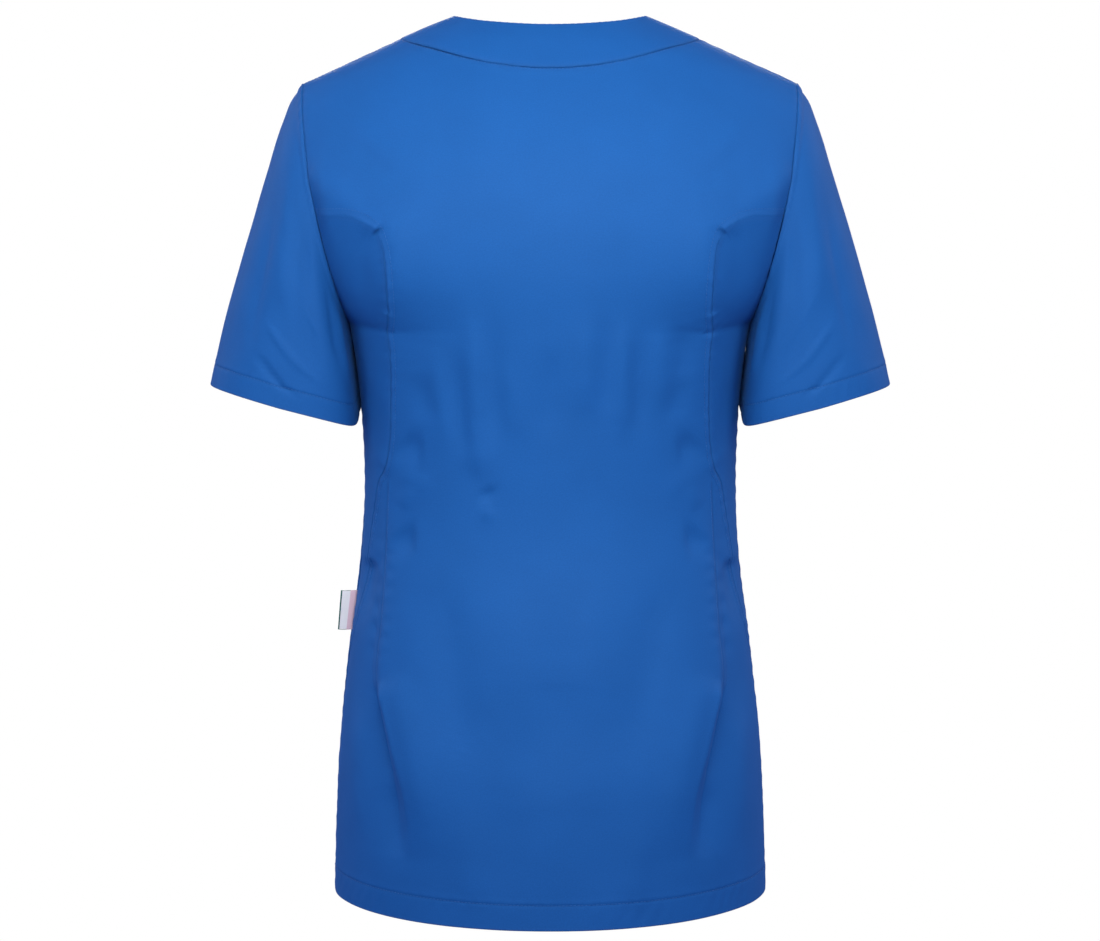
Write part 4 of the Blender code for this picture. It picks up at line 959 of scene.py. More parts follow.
def panel(name, face, runs, features, kinds, material):
    """A panel of the body. runs go round it with the panel on their left. features: lines of (across, up) along which
    points are close together. kinds: which row of SEAMS each kind of edge follows."""
    loop = np.vstack([r.at[:-1] for r in runs])
    edges = Edges(face, runs)
    flat_loop = laid(face, loop)
    extra = []
    for r in runs:
        rows = HEM_ROWS[1:] if r.tag == "hem" else SEAM_ROWS[1:]
        for d, at in zip(rows, rows_beside(face, r.at, rows)):
            ok = (np.abs(at[:, 0]) < 0.9995) & (at[:, 1] > 0.05) & (at[:, 1] < TOP[face] - 0.05)
            at = at[ok]
            point = body_shape(face, at[:, 0], at[:, 1])
            far = np.min([edges.off(tag, point)[0] for tag in edges.kinds], axis=0)
            extra.append(at[far > 0.8 * d])
    for line in features:
        point = body_shape(face, line[:, 0], line[:, 1])
        far = np.min([edges.off(tag, point)[0] for tag in edges.kinds], axis=0)
        extra.append(line[(far > 3.0)])
    extra = np.vstack(extra)
    extra = extra[within(flat_loop, laid(face, extra))]
    # The lattice in the middle.
    lattice = []
    for k, up in enumerate(np.arange(GRID * 0.4, TOP[face], GRID * 0.866)):
        half = np.interp(up, *HALF[face])
        x = np.arange(-int(half / GRID) - 1, int(half / GRID) + 2) * GRID + (GRID / 2 if k % 2 else 0.0)
        lattice.append(np.stack([x[np.abs(x) < half] / half, np.full((np.abs(x) < half).sum(), up)], 1))
    lattice = np.vstack(lattice)
    lattice = lattice[within(flat_loop, laid(face, lattice))]
    point = body_shape(face, lattice[:, 0], lattice[:, 1])
    clear = np.ones(len(lattice), bool)
    for tag in edges.kinds:
        clear &= edges.off(tag, point)[0] > (HEM_ROWS if tag == "hem" else SEAM_ROWS)[-1] + 1.6
    lattice = lattice[clear]
    if len(features):
        seeds = laid(face, np.vstack(features))
        tree = KDTree(len(seeds))
        for i, p in enumerate(seeds):
            tree.insert((p[0], p[1], 0), i)
        tree.balance()
        near = np.array([tree.find((x, y, 0))[2] for x, y in laid(face, lattice)])
        lattice = lattice[near > 2.2]
    at = np.vstack([loop, extra, lattice])
    flat = laid(face, at)
    keep = thin_out(flat, len(loop), 0.3)
    at, flat = at[keep], flat[keep]
    ends = [(i, (i + 1) % len(loop)) for i in range(len(loop))]
    verts, _, faces, origin, _, _ = delaunay_2d_cdt([tuple(p) for p in flat], ends, [], 1, 1e-5)
    at = np.array([at[o[0]] if o else (0.0, 0.0) for o in origin])
    faces = np.array([f for f in faces if len(f) == 3])
    used, faces = np.unique(faces, return_inverse=True)
    at, faces = at[used], faces.reshape(-1, 3)
    if face == BACK:
        faces = faces[:, ::-1]

    base = body_shape(face, at[:, 0], at[:, 1])
    normal = raw_normal(body_shape, face, at[:, 0], at[:, 1])
    both = folds(BACK_FOLDS if face == BACK else FRONT_FOLDS, base) + ripples(face, base, at)
    outer_only, thick = np.zeros(len(at)), np.full(len(at), SHEET)
    wear, seam_shade, calm = np.zeros(len(at)), np.zeros(len(at)), np.ones(len(at))
    near_edge = np.full(len(at), 1e9)
    mix = np.zeros(len(at))
    joined = normal.copy()
    hem_off = np.full(len(at), 1e9)
    for tag in edges.kinds:
        d, arc, shared = edges.off(tag, base)
        if tag == "hem":
            lift, outside, extra_thick = hem_relief(d, arc, HEM_DEEP, 31 + face)
            hem_off = d
            wear = np.maximum(wear, 0.8 * bell(d, 1.6))
            # painted shade along the hem's stitch line
            seam_shade = np.maximum(seam_shade, bell(d - HEM_DEEP, 0.8) * 0.6)
        else:
            lift, outside, lap = seam_relief(kinds[tag], d, arc)
            extra_thick = lap
            plain = 1.0
            if tag == "princess":  # pressed flat where it runs level, from the armhole to the corner
                plain = 0.12 + 0.88 * ease((np.mod(arc, 3000.0) - 66.0) / 60.0)
                outside, lift = outside * plain, lift * (0.3 + 0.7 * plain)
                soft = 1.0 - bell(np.linalg.norm(base - corner_point * np.where(base[:, :1] < 0, (-1, 1, 1), (1, 1, 1)), axis=1), 10.0)
                outside, lift, plain = outside * soft, lift * soft, plain * soft
            if tag == "arm":
                plain = 1.0 - 0.7 * shoulder_share(base[:, 2])
                outside = outside * plain
                lift = lift - 0.9 * bell(np.hypot(d, base[:, 2] - SHOULDER_Z), 16.0)
            wear = np.maximum(wear, 0.35 * bell(d - 2.2, 1.3))
            # painted shade in the bottom of the seam
            seam_shade = np.maximum(seam_shade, bell(d, 0.9) * plain)
            w = bell(d, 7.0)
            joined = np.where((w > mix)[:, None], unit(normal + (shared - normal) * w[:, None]), joined)
            mix = np.maximum(mix, w)
        near_edge = np.minimum(near_edge, d)
        calm = np.minimum(calm, 0.25 + 0.75 * ease(d / 14.0)) if tag not in ("hem",) else calm
        both = both + lift * (1.0 if tag == "hem" else 1.0)
        outer_only += outside
        thick = np.maximum(thick, SHEET + extra_thick)
    if face == BACK:
        both = both + tuck_lift(base) + crease_lift(base, at[:, 0])
        tuck_off, tuck_side = tuck_distance(base)
        outer_only += 0.34 * bell(tuck_side + 2.0, 1.2) * bell(tuck_off, 4.0) - 0.32 * bell(tuck_off, 0.7)
        # painted shade along the tuck's stitched line
        seam_shade = np.maximum(seam_shade, 0.6 * bell(tuck_off, 0.8))
        pulls = np.sin((base[:, 2] + 2.0 * np.sign(base[:, 0])) * math.pi / 17.5 + noise(base, 24.0, 91))
        fade = ease((-385.0 - base[:, 2]) / 25.0) * ease((base[:, 2] + 500.0) / 30.0)
        both = both - 0.9 * pulls * pulls * fade * bell(tuck_side - 5.0, 4.2)
        both = both + 0.35 * np.sin(base[:, 2] * 2 * math.pi / 13.0) * fade * bell(tuck_side + 6.0, 4.0)
    normal = joined
    middle = base + normal * both[:, None]
    final_normal = vertex_normals(middle, faces)
    w = bell(near_edge, 2.5)[:, None]
    final_normal = unit(final_normal * (1 - w) + joined * w)
    fallen = rounded(hem_off, HEM_SHEET / 2)
    fallen = np.minimum(fallen, HEM_SHEET / 2 - 0.06)
    outer = middle + final_normal * (outer_only - fallen)[:, None]
    inner = middle - final_normal * (thick - fallen)[:, None]
    # The gap in the bottom of the seams.
    edge_points = near_edge < 0.02
    shift = np.zeros_like(outer)
    shift[edge_points] = draw_in(outer, faces, edge_points, hem_off)
    uv = laid(face, at)
    return shell(name, outer + shift, inner + shift, faces, material, uv, wear, seam_shade)


def draw_in(points, faces, chosen, hem_off):
    """Half the gap, into the panel, for the points on its edge."""
    towards = np.zeros_like(points)
    f = np.asarray(faces)
    for k in range(3):
        centre = points[f].mean(1)
        np.add.at(towards, f[:, k], centre - points[f[:, k]])
    way = unit(towards)
    return (way * (GAP / 2) * (hem_off > 0.5)[:, None])[chosen]


def tuck_distance(points):
    """Distance from the stitched line of the tuck, and how far out from that line."""
    z = points[:, 2]
    order = slice(None, None, -1)
    line = smooth(z, TUCK["z"][order], TUCK["x"][order])
    side = np.abs(points[:, 0]) - line
    past = np.maximum(np.maximum(z - TUCK["z"][0], TUCK["z"][3] - z), 0.0)
    return np.hypot(side, past * 0.6), side


def tuck_features():
    """Lines of close points along the tuck and the fold below it."""
    out = []
    zs = np.linspace(TUCK["z"][0] + 6, TUCK["z"][-1], int((TUCK["z"][0] - TUCK["z"][-1]) / 2.6))
    xs = smooth(zs, TUCK["z"][::-1], TUCK["x"][::-1])
    for shift in (-9.0, -7.0, -5.0, -3.6, -2.4, -1.4, -0.7, 0.0, 0.7, 1.4, 2.4, 3.6, 5.0, 7.0, 9.0):
        at = place(BACK, (0, 2), np.stack([xs + shift, zs], 1), (0.75, 250.0))
        out += [at, at * (-1, 1)]
    return out


def sleeve_lift(side, turn, along, s, round_mm):
    """How far the sleeve's folds lift these points; round_mm is the sleeve's girth there."""
    out = np.zeros(np.shape(turn))
    table = SLEEVE_FOLDS
    for row in range(len(table["turn0"])):
        if table["where"][row] not in (0, side):
            continue
        a0, a1 = table["along0"][row], table["along1"][row]
        t = np.clip((along - a0) / (a1 - a0), 0, 1)
        centre = table["turn0"][row] + (table["turn1"][row] - table["turn0"][row]) * t
        gap = (np.mod(turn - centre + 180.0, 360.0) - 180.0) / 360.0 * round_mm
        down = (along - np.clip(along, a0, a1)) * 200.0
        away = np.hypot(gap, down) / table["wide"][row]
        strength = ease(t / table["in"][row]) * ease((1 - t) / table["out"][row])
        out += table["high"][row] * np.exp(-away * away) * strength * (1.0 if side > 0 else 0.9)
    return out


def sleeve_piece(name, side, material):
    turns = np.arange(0.0, 360.0, 2.5)
    count = len(turns)
    fine = np.linspace(0, 1, 41)
    grid = sleeve(fine[:, None] + turns[None] * 0, turns[None] + fine[:, None] * 0)
    run = np.concatenate([np.zeros((1, count)), np.cumsum(np.linalg.norm(np.diff(grid, axis=0), axis=-1), axis=0)])
    long = run[-1]
    start, finish = SEAM_ROWS[-1], CUFF_ROWS[-1]
    rows = [np.full(count, d) for d in SEAM_ROWS]
    rows += [start + (long - start - finish) * k / 50 for k in range(1, 50)]
    rows += [long - e for e in CUFF_ROWS[::-1]]
    s = np.array(rows)
    along = np.array([np.interp(s[:, i], run[:, i], fine) for i in range(count)]).T
    turn = np.broadcast_to(turns, along.shape)
    base = sleeve(along, turn)
    normal = sleeve_normal(along, turn)
    near = normal[0].copy()
    for i, a in enumerate(turns):
        face, t = (BACK, a) if a <= 180 else (FRONT, 360 - a)
        mate = body_normal(face, 1.0, np.interp(-t, *ARM_UP[face]))
        if a in (0.0, 180.0):
            mate = unit(mate + body_normal(FRONT, 1.0, np.interp(-t, *ARM_UP[FRONT])))
        dot = float((near[i] * mate).sum())
        near[i] = unit(near[i] + mate * min(max((dot - 0.1) / 0.5, 0.0), 1.0))
    w = bell(s, 7.0)[..., None]
    normal = unit(normal * (1 - w) + near[None] * w)
    girth = np.linalg.norm(np.roll(base, -1, axis=1) - base, axis=-1).sum(1, keepdims=True)
    arc = np.interp(np.mod(turn + 180.0, 360.0) - 180.0, ARM_TURNS, ARM_ARCS)
    flat_points = base.reshape(-1, 3)
    both = sleeve_lift(side, turn, along, s, girth)
    both = both + (noise(flat_points, 38.0, 41 + side) * 0.5 + noise(flat_points, 15.0, 51 + side) * 0.12).reshape(s.shape)
    lift, outside, lap = (x.reshape(s.shape) for x in seam_relief("arm on the sleeve", s.ravel(), arc.ravel() + (3000.0 if side < 0 else 0)))
    # The cloth is eased in over the top of the armhole.
    over = ease((np.cos(np.radians(turn)) + 0.1) / 0.8)
    both = both + lift * (1 + 0.7 * over)
    # The seam is pressed flat over the shoulder, where the sleeve's head is full, and the sleeve is close in under the arm.
    outside = outside * (1.0 - 0.7 * shoulder_share(base[..., 2]))
    top = bell(np.hypot(base[..., 1], 0), 26.0) * (base[..., 2] > -110)
    both = both - 0.9 * bell(np.hypot(s, base[..., 2] - SHOULDER_Z), 16.0) * over + 1.5 * bell(s - 17.0, 11.0) * top
    both = both + 1.4 * bell(s - 14.0, 9.0) * bell(np.abs(np.mod(turn, 360.0) - 180.0), 28.0)
    e = long[None] - s
    arc_cuff = turn / 360.0 * girth
    cuff, cuff_out, cuff_thick = (x.reshape(s.shape) for x in hem_relief(e.ravel(), arc_cuff.ravel(), CUFF_DEEP, 61 + side))
    both, outside = both + cuff, outside + cuff_out
    # The seam under the arm.
    under = np.abs(np.mod(turn, 360.0) - 180.0) / 360.0 * girth
    outside = outside - 0.35 * bell(under, 1.6)
    thick = SHEET + np.maximum(np.maximum(lap, cuff_thick), 0.7 * ease((9.0 - under) / 1.5))
    middle = base + normal * both[..., None]
    faces = []
    total = len(rows)
    i = np.arange(count)
    for k in range(total - 1):
        a, b = k * count + i, k * count + (i + 1) % count
        faces += [np.stack([a, a + count, b], 1), np.stack([b, a + count, b + count], 1)]
    faces = np.concatenate(faces)
    middle = middle.reshape(-1, 3)
    final = vertex_normals(middle, faces)
    w = bell(s, 2.5).reshape(-1, 1)
    final = unit(final * (1 - w) + normal.reshape(-1, 3) * w)
    fallen = np.minimum(rounded(e, HEM_SHEET / 2), HEM_SHEET / 2 - 0.06).reshape(-1)
    outer = middle + final * (outside.reshape(-1) - fallen)[:, None]
    inner = middle - final * (thick.reshape(-1) - fallen)[:, None]
    first = slice(0, count)
    away = unit(middle[count : 2 * count] - middle[first]) * -TUCKED
    outer[first] += away
    inner[first] += away
    wear = np.maximum(0.8 * bell(e, 1.6), 0.35 * bell(s - 2.2, 1.3)).reshape(-1)
    # painted shade in the bottom of the armhole seam and along the cuff's stitch line
    seam_shade = np.maximum(bell(s, 0.9), 0.6 * bell(e - CUFF_DEEP, 0.8)).reshape(-1)
    uv = np.stack([turn / 360.0 * girth.mean(), s], axis=-1).reshape(-1, 2)
    if side < 0:
        outer, inner, faces = outer * (-1, 1, 1), inner * (-1, 1, 1), faces[:, ::-1]
    return shell(name, outer, inner, faces, material, uv, wear, seam_shade)


def band_grid():
    """The neckband's points before its relief: rows across it, and the distance from its seam and from its edge."""
    back = list(zip(neck, neck_line(COLLAR_WIDE, COLLAR_DEEP, len(neck) - 1)))
    front = list(zip(vee, v_line(COLLAR_WIDE, V_EDGE, len(vee) - 1)))
    path = [(FRONT, 1, *pair) for pair in front[:-1]]
    path += [(BACK, 1, *pair) for pair in reversed(back)]
    path += [(BACK, -1, *pair) for pair in back[1:]]
    path += [(FRONT, -1, *pair) for pair in reversed(front[:-1])]
    wide = 44.0
    seam, top = (0.0, 0.4, 0.9, 1.6, 2.5, 3.5, 5.0), (5.0, 2.6, 1.3, 0.7, 0.35, 0.12, 0.0)
    shares = [d / wide for d in seam] + list(np.linspace(seam[-1] / wide, 1 - top[0] / wide, 12)[1:-1]) + [1 - d / wide for d in top]
    shares = np.array(shares)
    rows = []
    for face, side, low, high in path:
        at = np.asarray(low) + (np.asarray(high) - np.asarray(low)) * shares[:, None]
        rows.append((face, side, at))
    return rows, shares


def band_piece(name, material):
    rows, shares = band_grid()
    points, normals = [], []
    for face in (BACK, FRONT):
        which = [i for i, r in enumerate(rows) if r[0] == face]
        at = np.vstack([rows[i][2] * (rows[i][1], 1) for i in which])
        p = body_shape(face, at[:, 0], at[:, 1]).reshape(len(which), len(shares), 3)
        n = body_normal(face, at[:, 0], at[:, 1]).reshape(len(which), len(shares), 3)
        for k, i in enumerate(which):
            points.append((i, p[k], n[k], rows[i][2]))
    points.sort(key=lambda row: row[0])
    base = np.array([p for _, p, _, _ in points])
    normal = np.array([n for _, _, n, _ in points])
    for i, (face, side, at) in enumerate(rows):
        if at[:, 1].min() > TOP[face] - 1e-6:
            other = body_normal(1 - face, at[:, 0] * side, np.full(len(at), TOP[1 - face]))
            normal[i] = unit(normal[i] + other)
    # Each side of the V is one straight cloth; its normals turn gently over the shoulder.
    soft = normal.copy()
    for _ in range(3):
        soft[1:-1] = unit(soft[:-2] + 2 * soft[1:-1] + soft[2:])
    normal = soft
    total, stride = base.shape[:2]
    width = np.linalg.norm(np.diff(base, axis=1), axis=-1).sum(1)
    d = np.concatenate([np.zeros((total, 1)), np.cumsum(np.linalg.norm(np.diff(base, axis=1), axis=-1), axis=1)], axis=1)
    e = width[:, None] - d
    arc = np.repeat(lengths(base[:, 0])[:, None], stride, axis=1)
    mitre = np.minimum(lengths(base[:, 0])[:, None] + d * 0, lengths(base[::-1, 0])[::-1][:, None] + d * 0)
    mitre = np.hypot(base[..., 0], 0) + np.where((base[..., 1] < 0) & (base[..., 2] < -90), 0.0, 1e3)
    lift, outside, _ = (x.reshape(d.shape) for x in seam_relief("band", d.ravel(), arc.ravel()))
    flat_points = base.reshape(-1, 3)
    both = lift + (noise(flat_points, 33.0, 71) * 0.3 + noise(flat_points, 12.0, 72) * 0.08).reshape(d.shape)
    both = both + 0.12 * np.sin(arc * 2 * math.pi / 9.0 + 2 * noise(flat_points, 30.0, 73).reshape(d.shape)) * bell(e - 1.0, 3.5)
    outside = outside - 0.30 * bell(mitre, 0.7)
    fallen = np.minimum(rounded(e, BAND_SHEET / 2), BAND_SHEET / 2 - 0.06)
    outer = base + normal * (BAND_OUT + both + outside - fallen)[..., None]
    inner = base - normal * (BAND_SHEET - BAND_OUT - both - fallen)[..., None]
    # Its edge laps over the body's, so that no light comes through the seam.
    inner[:, :2] = base[:, :2] + normal[:, :2] * (both[:, :2, None] - LAP_DEPTH)
    for skin in (outer, inner):
        skin[:, 0] -= unit(base[:, 1] - base[:, 0]) * LAP
        skin[0, :, 0], skin[-1, :, 0] = GAP / 2, -GAP / 2
    faces = []
    i = np.arange(total - 1) * stride
    for k in range(stride - 1):
        a, b = i + k, i + k + stride
        faces += [np.stack([a, b, a + 1], 1), np.stack([b, b + 1, a + 1], 1)]
    faces = np.concatenate(faces)
    wear = np.maximum(0.9 * bell(e, 1.8), 0.3 * bell(d - 2.0, 1.3)).reshape(-1)
    # painted shade in the bottom of the band's seam and along its mitre
    seam_shade = np.maximum(bell(d, 0.8), 0.8 * bell(mitre, 0.8)).reshape(-1)
    uv = np.stack([arc, d], axis=-1).reshape(-1, 2)
    return shell(name, outer.reshape(-1, 3), inner.reshape(-1, 3), faces, material, uv, wear, seam_shade)


# ---- Stitches ----
def on_piece(name, points):
    """These points moved onto a piece's outer face, and the normals there."""
    tree = outer_trees[name]
    found = [tree.find_nearest(Vector(p * MM)) for p in points]
    place_ = np.array([f[0] for f in found]) / MM
    normal = np.array([f[1] for f in found])
    return place_, normal


def stitches(name, lines, material):
    """One object of short threads along lines of (points, normals)."""
    ring = np.linspace(0, 2 * math.pi, 7)[:-1]
    # share along the stitch, height over the cloth and thickness there
    profile = ((0.0, -0.30, 0.55), (0.12, 0.05, 0.95), (0.5, 0.17, 1.0), (0.88, 0.05, 0.95), (1.0, -0.30, 0.55))
    verts, faces, count = [], [], 0
    for k, (points, normals) in enumerate(lines):
        run = lengths(points)
        total = int(run[-1] / PITCH)
        if total < 2:
            continue
        starts = np.arange(total) * run[-1] / total
        jitter = noise(np.stack([starts, starts * 0 + k * 7], 1), 2.0, 81) * 0.10
        sway = noise(np.stack([starts, starts * 0 + k * 7], 1), 3.0, 82) * 0.09
        rings = []
        for share, high, fat in profile:
            at = starts + 0.3 + jitter + share * (PITCH - 0.62)
            p = np.stack([np.interp(at, run, points[:, j]) for j in range(3)], 1)
            n = unit(np.stack([np.interp(at, run, normals[:, j]) for j in range(3)], 1))
            q = np.stack([np.interp(at + 0.4, run, points[:, j]) for j in range(3)], 1)
            q0 = np.stack([np.interp(at - 0.4, run, points[:, j]) for j in range(3)], 1)
            t = unit(q - q0)
            b = unit(np.cross(t, n))
            n = np.cross(b, t)
            centre = p + n * high + b * (sway * (share - 0.5) * 2)[:, None]
            r = THREAD / 2 * fat
            rings.append(centre[:, None] + (n[:, None] * np.cos(ring)[None, :, None] + b[:, None] * np.sin(ring)[None, :, None]) * r)
        block = np.stack(rings, 1)  # stitch, ring, corner, 3
        verts.append(block.reshape(-1, 3))
        per = len(profile) * 6
        base = count + np.arange(total)[:, None, None] * per
        j = np.arange(6)[None, None]
        r = np.arange(len(profile) - 1)[None, :, None] * 6
        a, b_ = base + r + j, base + r + (j + 1) % 6
        faces.append(np.stack([a, b_, b_ + 6, a + 6], -1).reshape(-1, 4))
        count += total * per
    verts, quads = np.vstack(verts), np.concatenate(faces)
    per = len(profile) * 6
    starts = np.arange(0, count, per)
    caps = [tuple(s + np.arange(6)[::-1]) for s in starts] + [tuple(s + per - 6 + np.arange(6)) for s in starts]
    return mesh_object(name, verts, quads.tolist() + caps, material)


def stitch_line(piece, face, run, distance, lo=0.0, hi=1.0):
    """A line of stitches at this distance from an edge, on the finished piece."""
    at = rows_beside(face, run.at, (distance,))[0]
    at[:, 0] = np.clip(at[:, 0], -0.9995, 0.9995)
    count = len(at)
    at = at[int(lo * (count - 1)) : int(hi * (count - 1)) + 1]
    return on_piece(piece, body(face, at[:, 0], at[:, 1]))


# ---- Materials ----
def new_material(name):
    material = bpy.data.materials.new(name)
    material.use_nodes = True
    tree = material.node_tree
    return material, tree, tree.nodes["Principled BSDF"]


def node(tree, kind, **settings):
    made = tree.nodes.new(kind)
    inputs = settings.pop("inputs", {})
    for key, value in settings.items():
        setattr(made, key, value)
    for key, value in inputs.items():
        made.inputs[key].default_value = value
    return made


def cloth_material(name, colour, twill=0.00052):
    material, tree, shader = new_material(name)
    link = tree.links.new
    uv = node(tree, "ShaderNodeUVMap", uv_map="Cloth")
    # Colour: the dye varies a little, worn edges are lighter, and painted shade darkens the bottoms of the seams, the
    # hem and cuff stitch lines, the tuck line and the band's mitre.
    cloudy = node(tree, "ShaderNodeTexNoise", inputs={"Scale": 22.0, "Detail": 3.0, "Roughness": 0.55})
    grain = node(tree, "ShaderNodeTexNoise", inputs={"Scale": 900.0, "Detail": 2.0, "Roughness": 0.6})
    link(uv.outputs["UV"], cloudy.inputs["Vector"])
    link(uv.outputs["UV"], grain.inputs["Vector"])
    dye = node(tree, "ShaderNodeMix", data_type="RGBA")
    dye.inputs["A"].default_value = (*[c * 0.93 for c in colour], 1)
    dye.inputs["B"].default_value = (*[c * 1.07 for c in colour], 1)
    link(cloudy.outputs["Fac"], dye.inputs["Factor"])
    yarn = node(tree, "ShaderNodeMix", data_type="RGBA", blend_type="MULTIPLY")
    yarn.inputs["Factor"].default_value = 1.0
    ramp = node(tree, "ShaderNodeMapRange", inputs={"From Min": 0.25, "From Max": 0.75, "To Min": 0.90, "To Max": 1.10})
    link(grain.outputs["Fac"], ramp.inputs["Value"])
    link(dye.outputs["Result"], yarn.inputs["A"])
    link(ramp.outputs["Result"], yarn.inputs["B"])
    worn = node(tree, "ShaderNodeAttribute", attribute_name="wear")
    lighter = node(tree, "ShaderNodeMix", data_type="RGBA")
    lighter.inputs["B"].default_value = (*[c * 0.72 + 0.10 for c in colour], 1)
    share = node(tree, "ShaderNodeMath", operation="MULTIPLY")
    share.inputs[1].default_value = 0.09
    link(worn.outputs["Fac"], share.inputs[0])
    link(share.outputs[0], lighter.inputs["Factor"])
    link(yarn.outputs["Result"], lighter.inputs["A"])
    # painted shade: seam_shade mixes the colour towards a darker blue
    low = node(tree, "ShaderNodeAttribute", attribute_name="seam_shade")
    darker = node(tree, "ShaderNodeMix", data_type="RGBA")
    darker.inputs["B"].default_value = (*[c * 0.45 for c in colour], 1)
    share2 = node(tree, "ShaderNodeMath", operation="MULTIPLY")
    share2.inputs[1].default_value = 0.38
    link(low.outputs["Fac"], share2.inputs[0])
    link(share2.outputs[0], darker.inputs["Factor"])
    link(lighter.outputs["Result"], darker.inputs["A"])
    link(darker.outputs["Result"], shader.inputs["Base Color"])
    # Roughness varies with the yarn.
    rough = node(tree, "ShaderNodeMapRange", inputs={"To Min": 0.60, "To Max": 0.72})
    link(grain.outputs["Fac"], rough.inputs["Value"])
    link(rough.outputs["Result"], shader.inputs["Roughness"])
    # The twill: fine slanting ribs, crossed by the yarns.
    turned = node(tree, "ShaderNodeMapping")
    turned.inputs["Rotation"].default_value = (0, 0, math.radians(27))
    link(uv.outputs["UV"], turned.inputs["Vector"])
    ribs = node(tree, "ShaderNodeTexWave", wave_type="BANDS", bands_direction="X")
    ribs.inputs["Scale"].default_value = 0.31416 / twill
    ribs.inputs["Distortion"].default_value = 0.35
    ribs.inputs["Detail Scale"].default_value = 3.0
    link(turned.outputs["Vector"], ribs.inputs["Vector"])
    yarns = node(tree, "ShaderNodeTexWave", wave_type="BANDS", bands_direction="Y")
    yarns.inputs["Scale"].default_value = 0.31416 / (twill * 0.8)
    link(uv.outputs["UV"], yarns.inputs["Vector"])
    weave = node(tree, "ShaderNodeMix", data_type="FLOAT")
    weave.inputs["Factor"].default_value = 0.3
    link(ribs.outputs["Fac"], weave.inputs["A"])
    link(yarns.outputs["Fac"], weave.inputs["B"])
    fine = node(tree, "ShaderNodeBump", inputs={"Strength": 0.35, "Distance": 0.00006})
    link(weave.outputs["Result"], fine.inputs["Height"])
    soft = node(tree, "ShaderNodeTexNoise", inputs={"Scale": 190.0, "Detail": 4.0, "Roughness": 0.6})
    link(uv.outputs["UV"], soft.inputs["Vector"])
    uneven = node(tree, "ShaderNodeBump", inputs={"Strength": 0.25, "Distance": 0.0004})
    link(soft.outputs["Fac"], uneven.inputs["Height"])
    link(fine.outputs["Normal"], uneven.inputs["Normal"])
    link(uneven.outputs["Normal"], shader.inputs["Normal"])
    shader.inputs["Specular IOR Level"].default_value = 0.11
    shader.inputs["Sheen Weight"].default_value = 0.05
    shader.inputs["Sheen Roughness"].default_value = 0.45
    shader.inputs["Sheen Tint"].default_value = (0.30, 0.60, 1.0, 1)
    return material


def plain_material(name, colour, roughness, bump_scale=2500.0):
    material, tree, shader = new_material(name)
    link = tree.links.new
    place_ = node(tree, "ShaderNodeTexCoord")
    grain = node(tree, "ShaderNodeTexNoise", inputs={"Scale": bump_scale, "Detail": 2.0})
    link(place_.outputs["Object"], grain.inputs["Vector"])
    mix = node(tree, "ShaderNodeMix", data_type="RGBA")
    mix.inputs["A"].default_value = (*[c * 0.90 for c in colour], 1)
    mix.inputs["B"].default_value = (*[min(1.0, c * 1.08) for c in colour], 1)
    link(grain.outputs["Fac"], mix.inputs["Factor"])
    link(mix.outputs["Result"], shader.inputs["Base Color"])
    shader.inputs["Roughness"].default_value = roughness
    bump = node(tree, "ShaderNodeBump", inputs={"Strength": 0.3, "Distance": 0.0001})
    link(grain.outputs["Fac"], bump.inputs["Height"])
    link(bump.outputs["Normal"], shader.inputs["Normal"])
    return material


BLUE = (0.0120, 0.1085, 0.334)
cloth = cloth_material("blue_twill", BLUE)
thread = plain_material("blue_thread", (0.0125, 0.1115, 0.340), 0.6)
tape = plain_material("white_tape", (0.86, 0.85, 0.76), 0.7)
tape_line = plain_material("green_edge", (0.020, 0.110, 0.080), 0.7)
tape_strip = plain_material("pink_edge", (0.80, 0.56, 0.55), 0.7)

# ---- Cutting the panels ----
princess = princess_run()
princess_line = body_shape(BACK, princess.at[:, 0], princess.at[:, 1])
corner_point = princess_line[np.argmin(np.hypot(princess_line[:, 0] - 133.5, princess_line[:, 2] + 153.2))]
princess_turn = float(armhole_angle(BACK, princess.at[0, 1]))
neck = neck_line(NECK_WIDE, NECK_DEEP, 52)
vee = v_line(NECK_WIDE, V_SEAM, 92)
neck_run = Run("neck", neck, lengths(body_shape(BACK, neck[:, 0], neck[:, 1])))
vee_run = Run("vee", vee, lengths(body_shape(FRONT, vee[:, 0], vee[:, 1])) + 900.0)
shoulder_w = np.linspace(neck[-1, 0], 1.0, 27)
shoulder_arc = body_shape(BACK, shoulder_w, np.full(27, TOP[BACK]))[:, 0]
shoulder_back = Run("shoulder", np.stack([shoulder_w, np.full(27, TOP[BACK])], 1), shoulder_arc)
shoulder_front = Run("shoulder", np.stack([shoulder_w, np.full(27, TOP[FRONT])], 1), shoulder_arc)
split_z = float(edge(BACK, princess.at[-1, 1])[2])
arm_upper, arm_lower = arm_run(BACK, princess_turn, 0.0), arm_run(BACK, 180.0, princess_turn)
side_low, side_high = side_run(BACK, SIDE_SEAM["z"][0], split_z), side_run(BACK, split_z, UNDERARM)

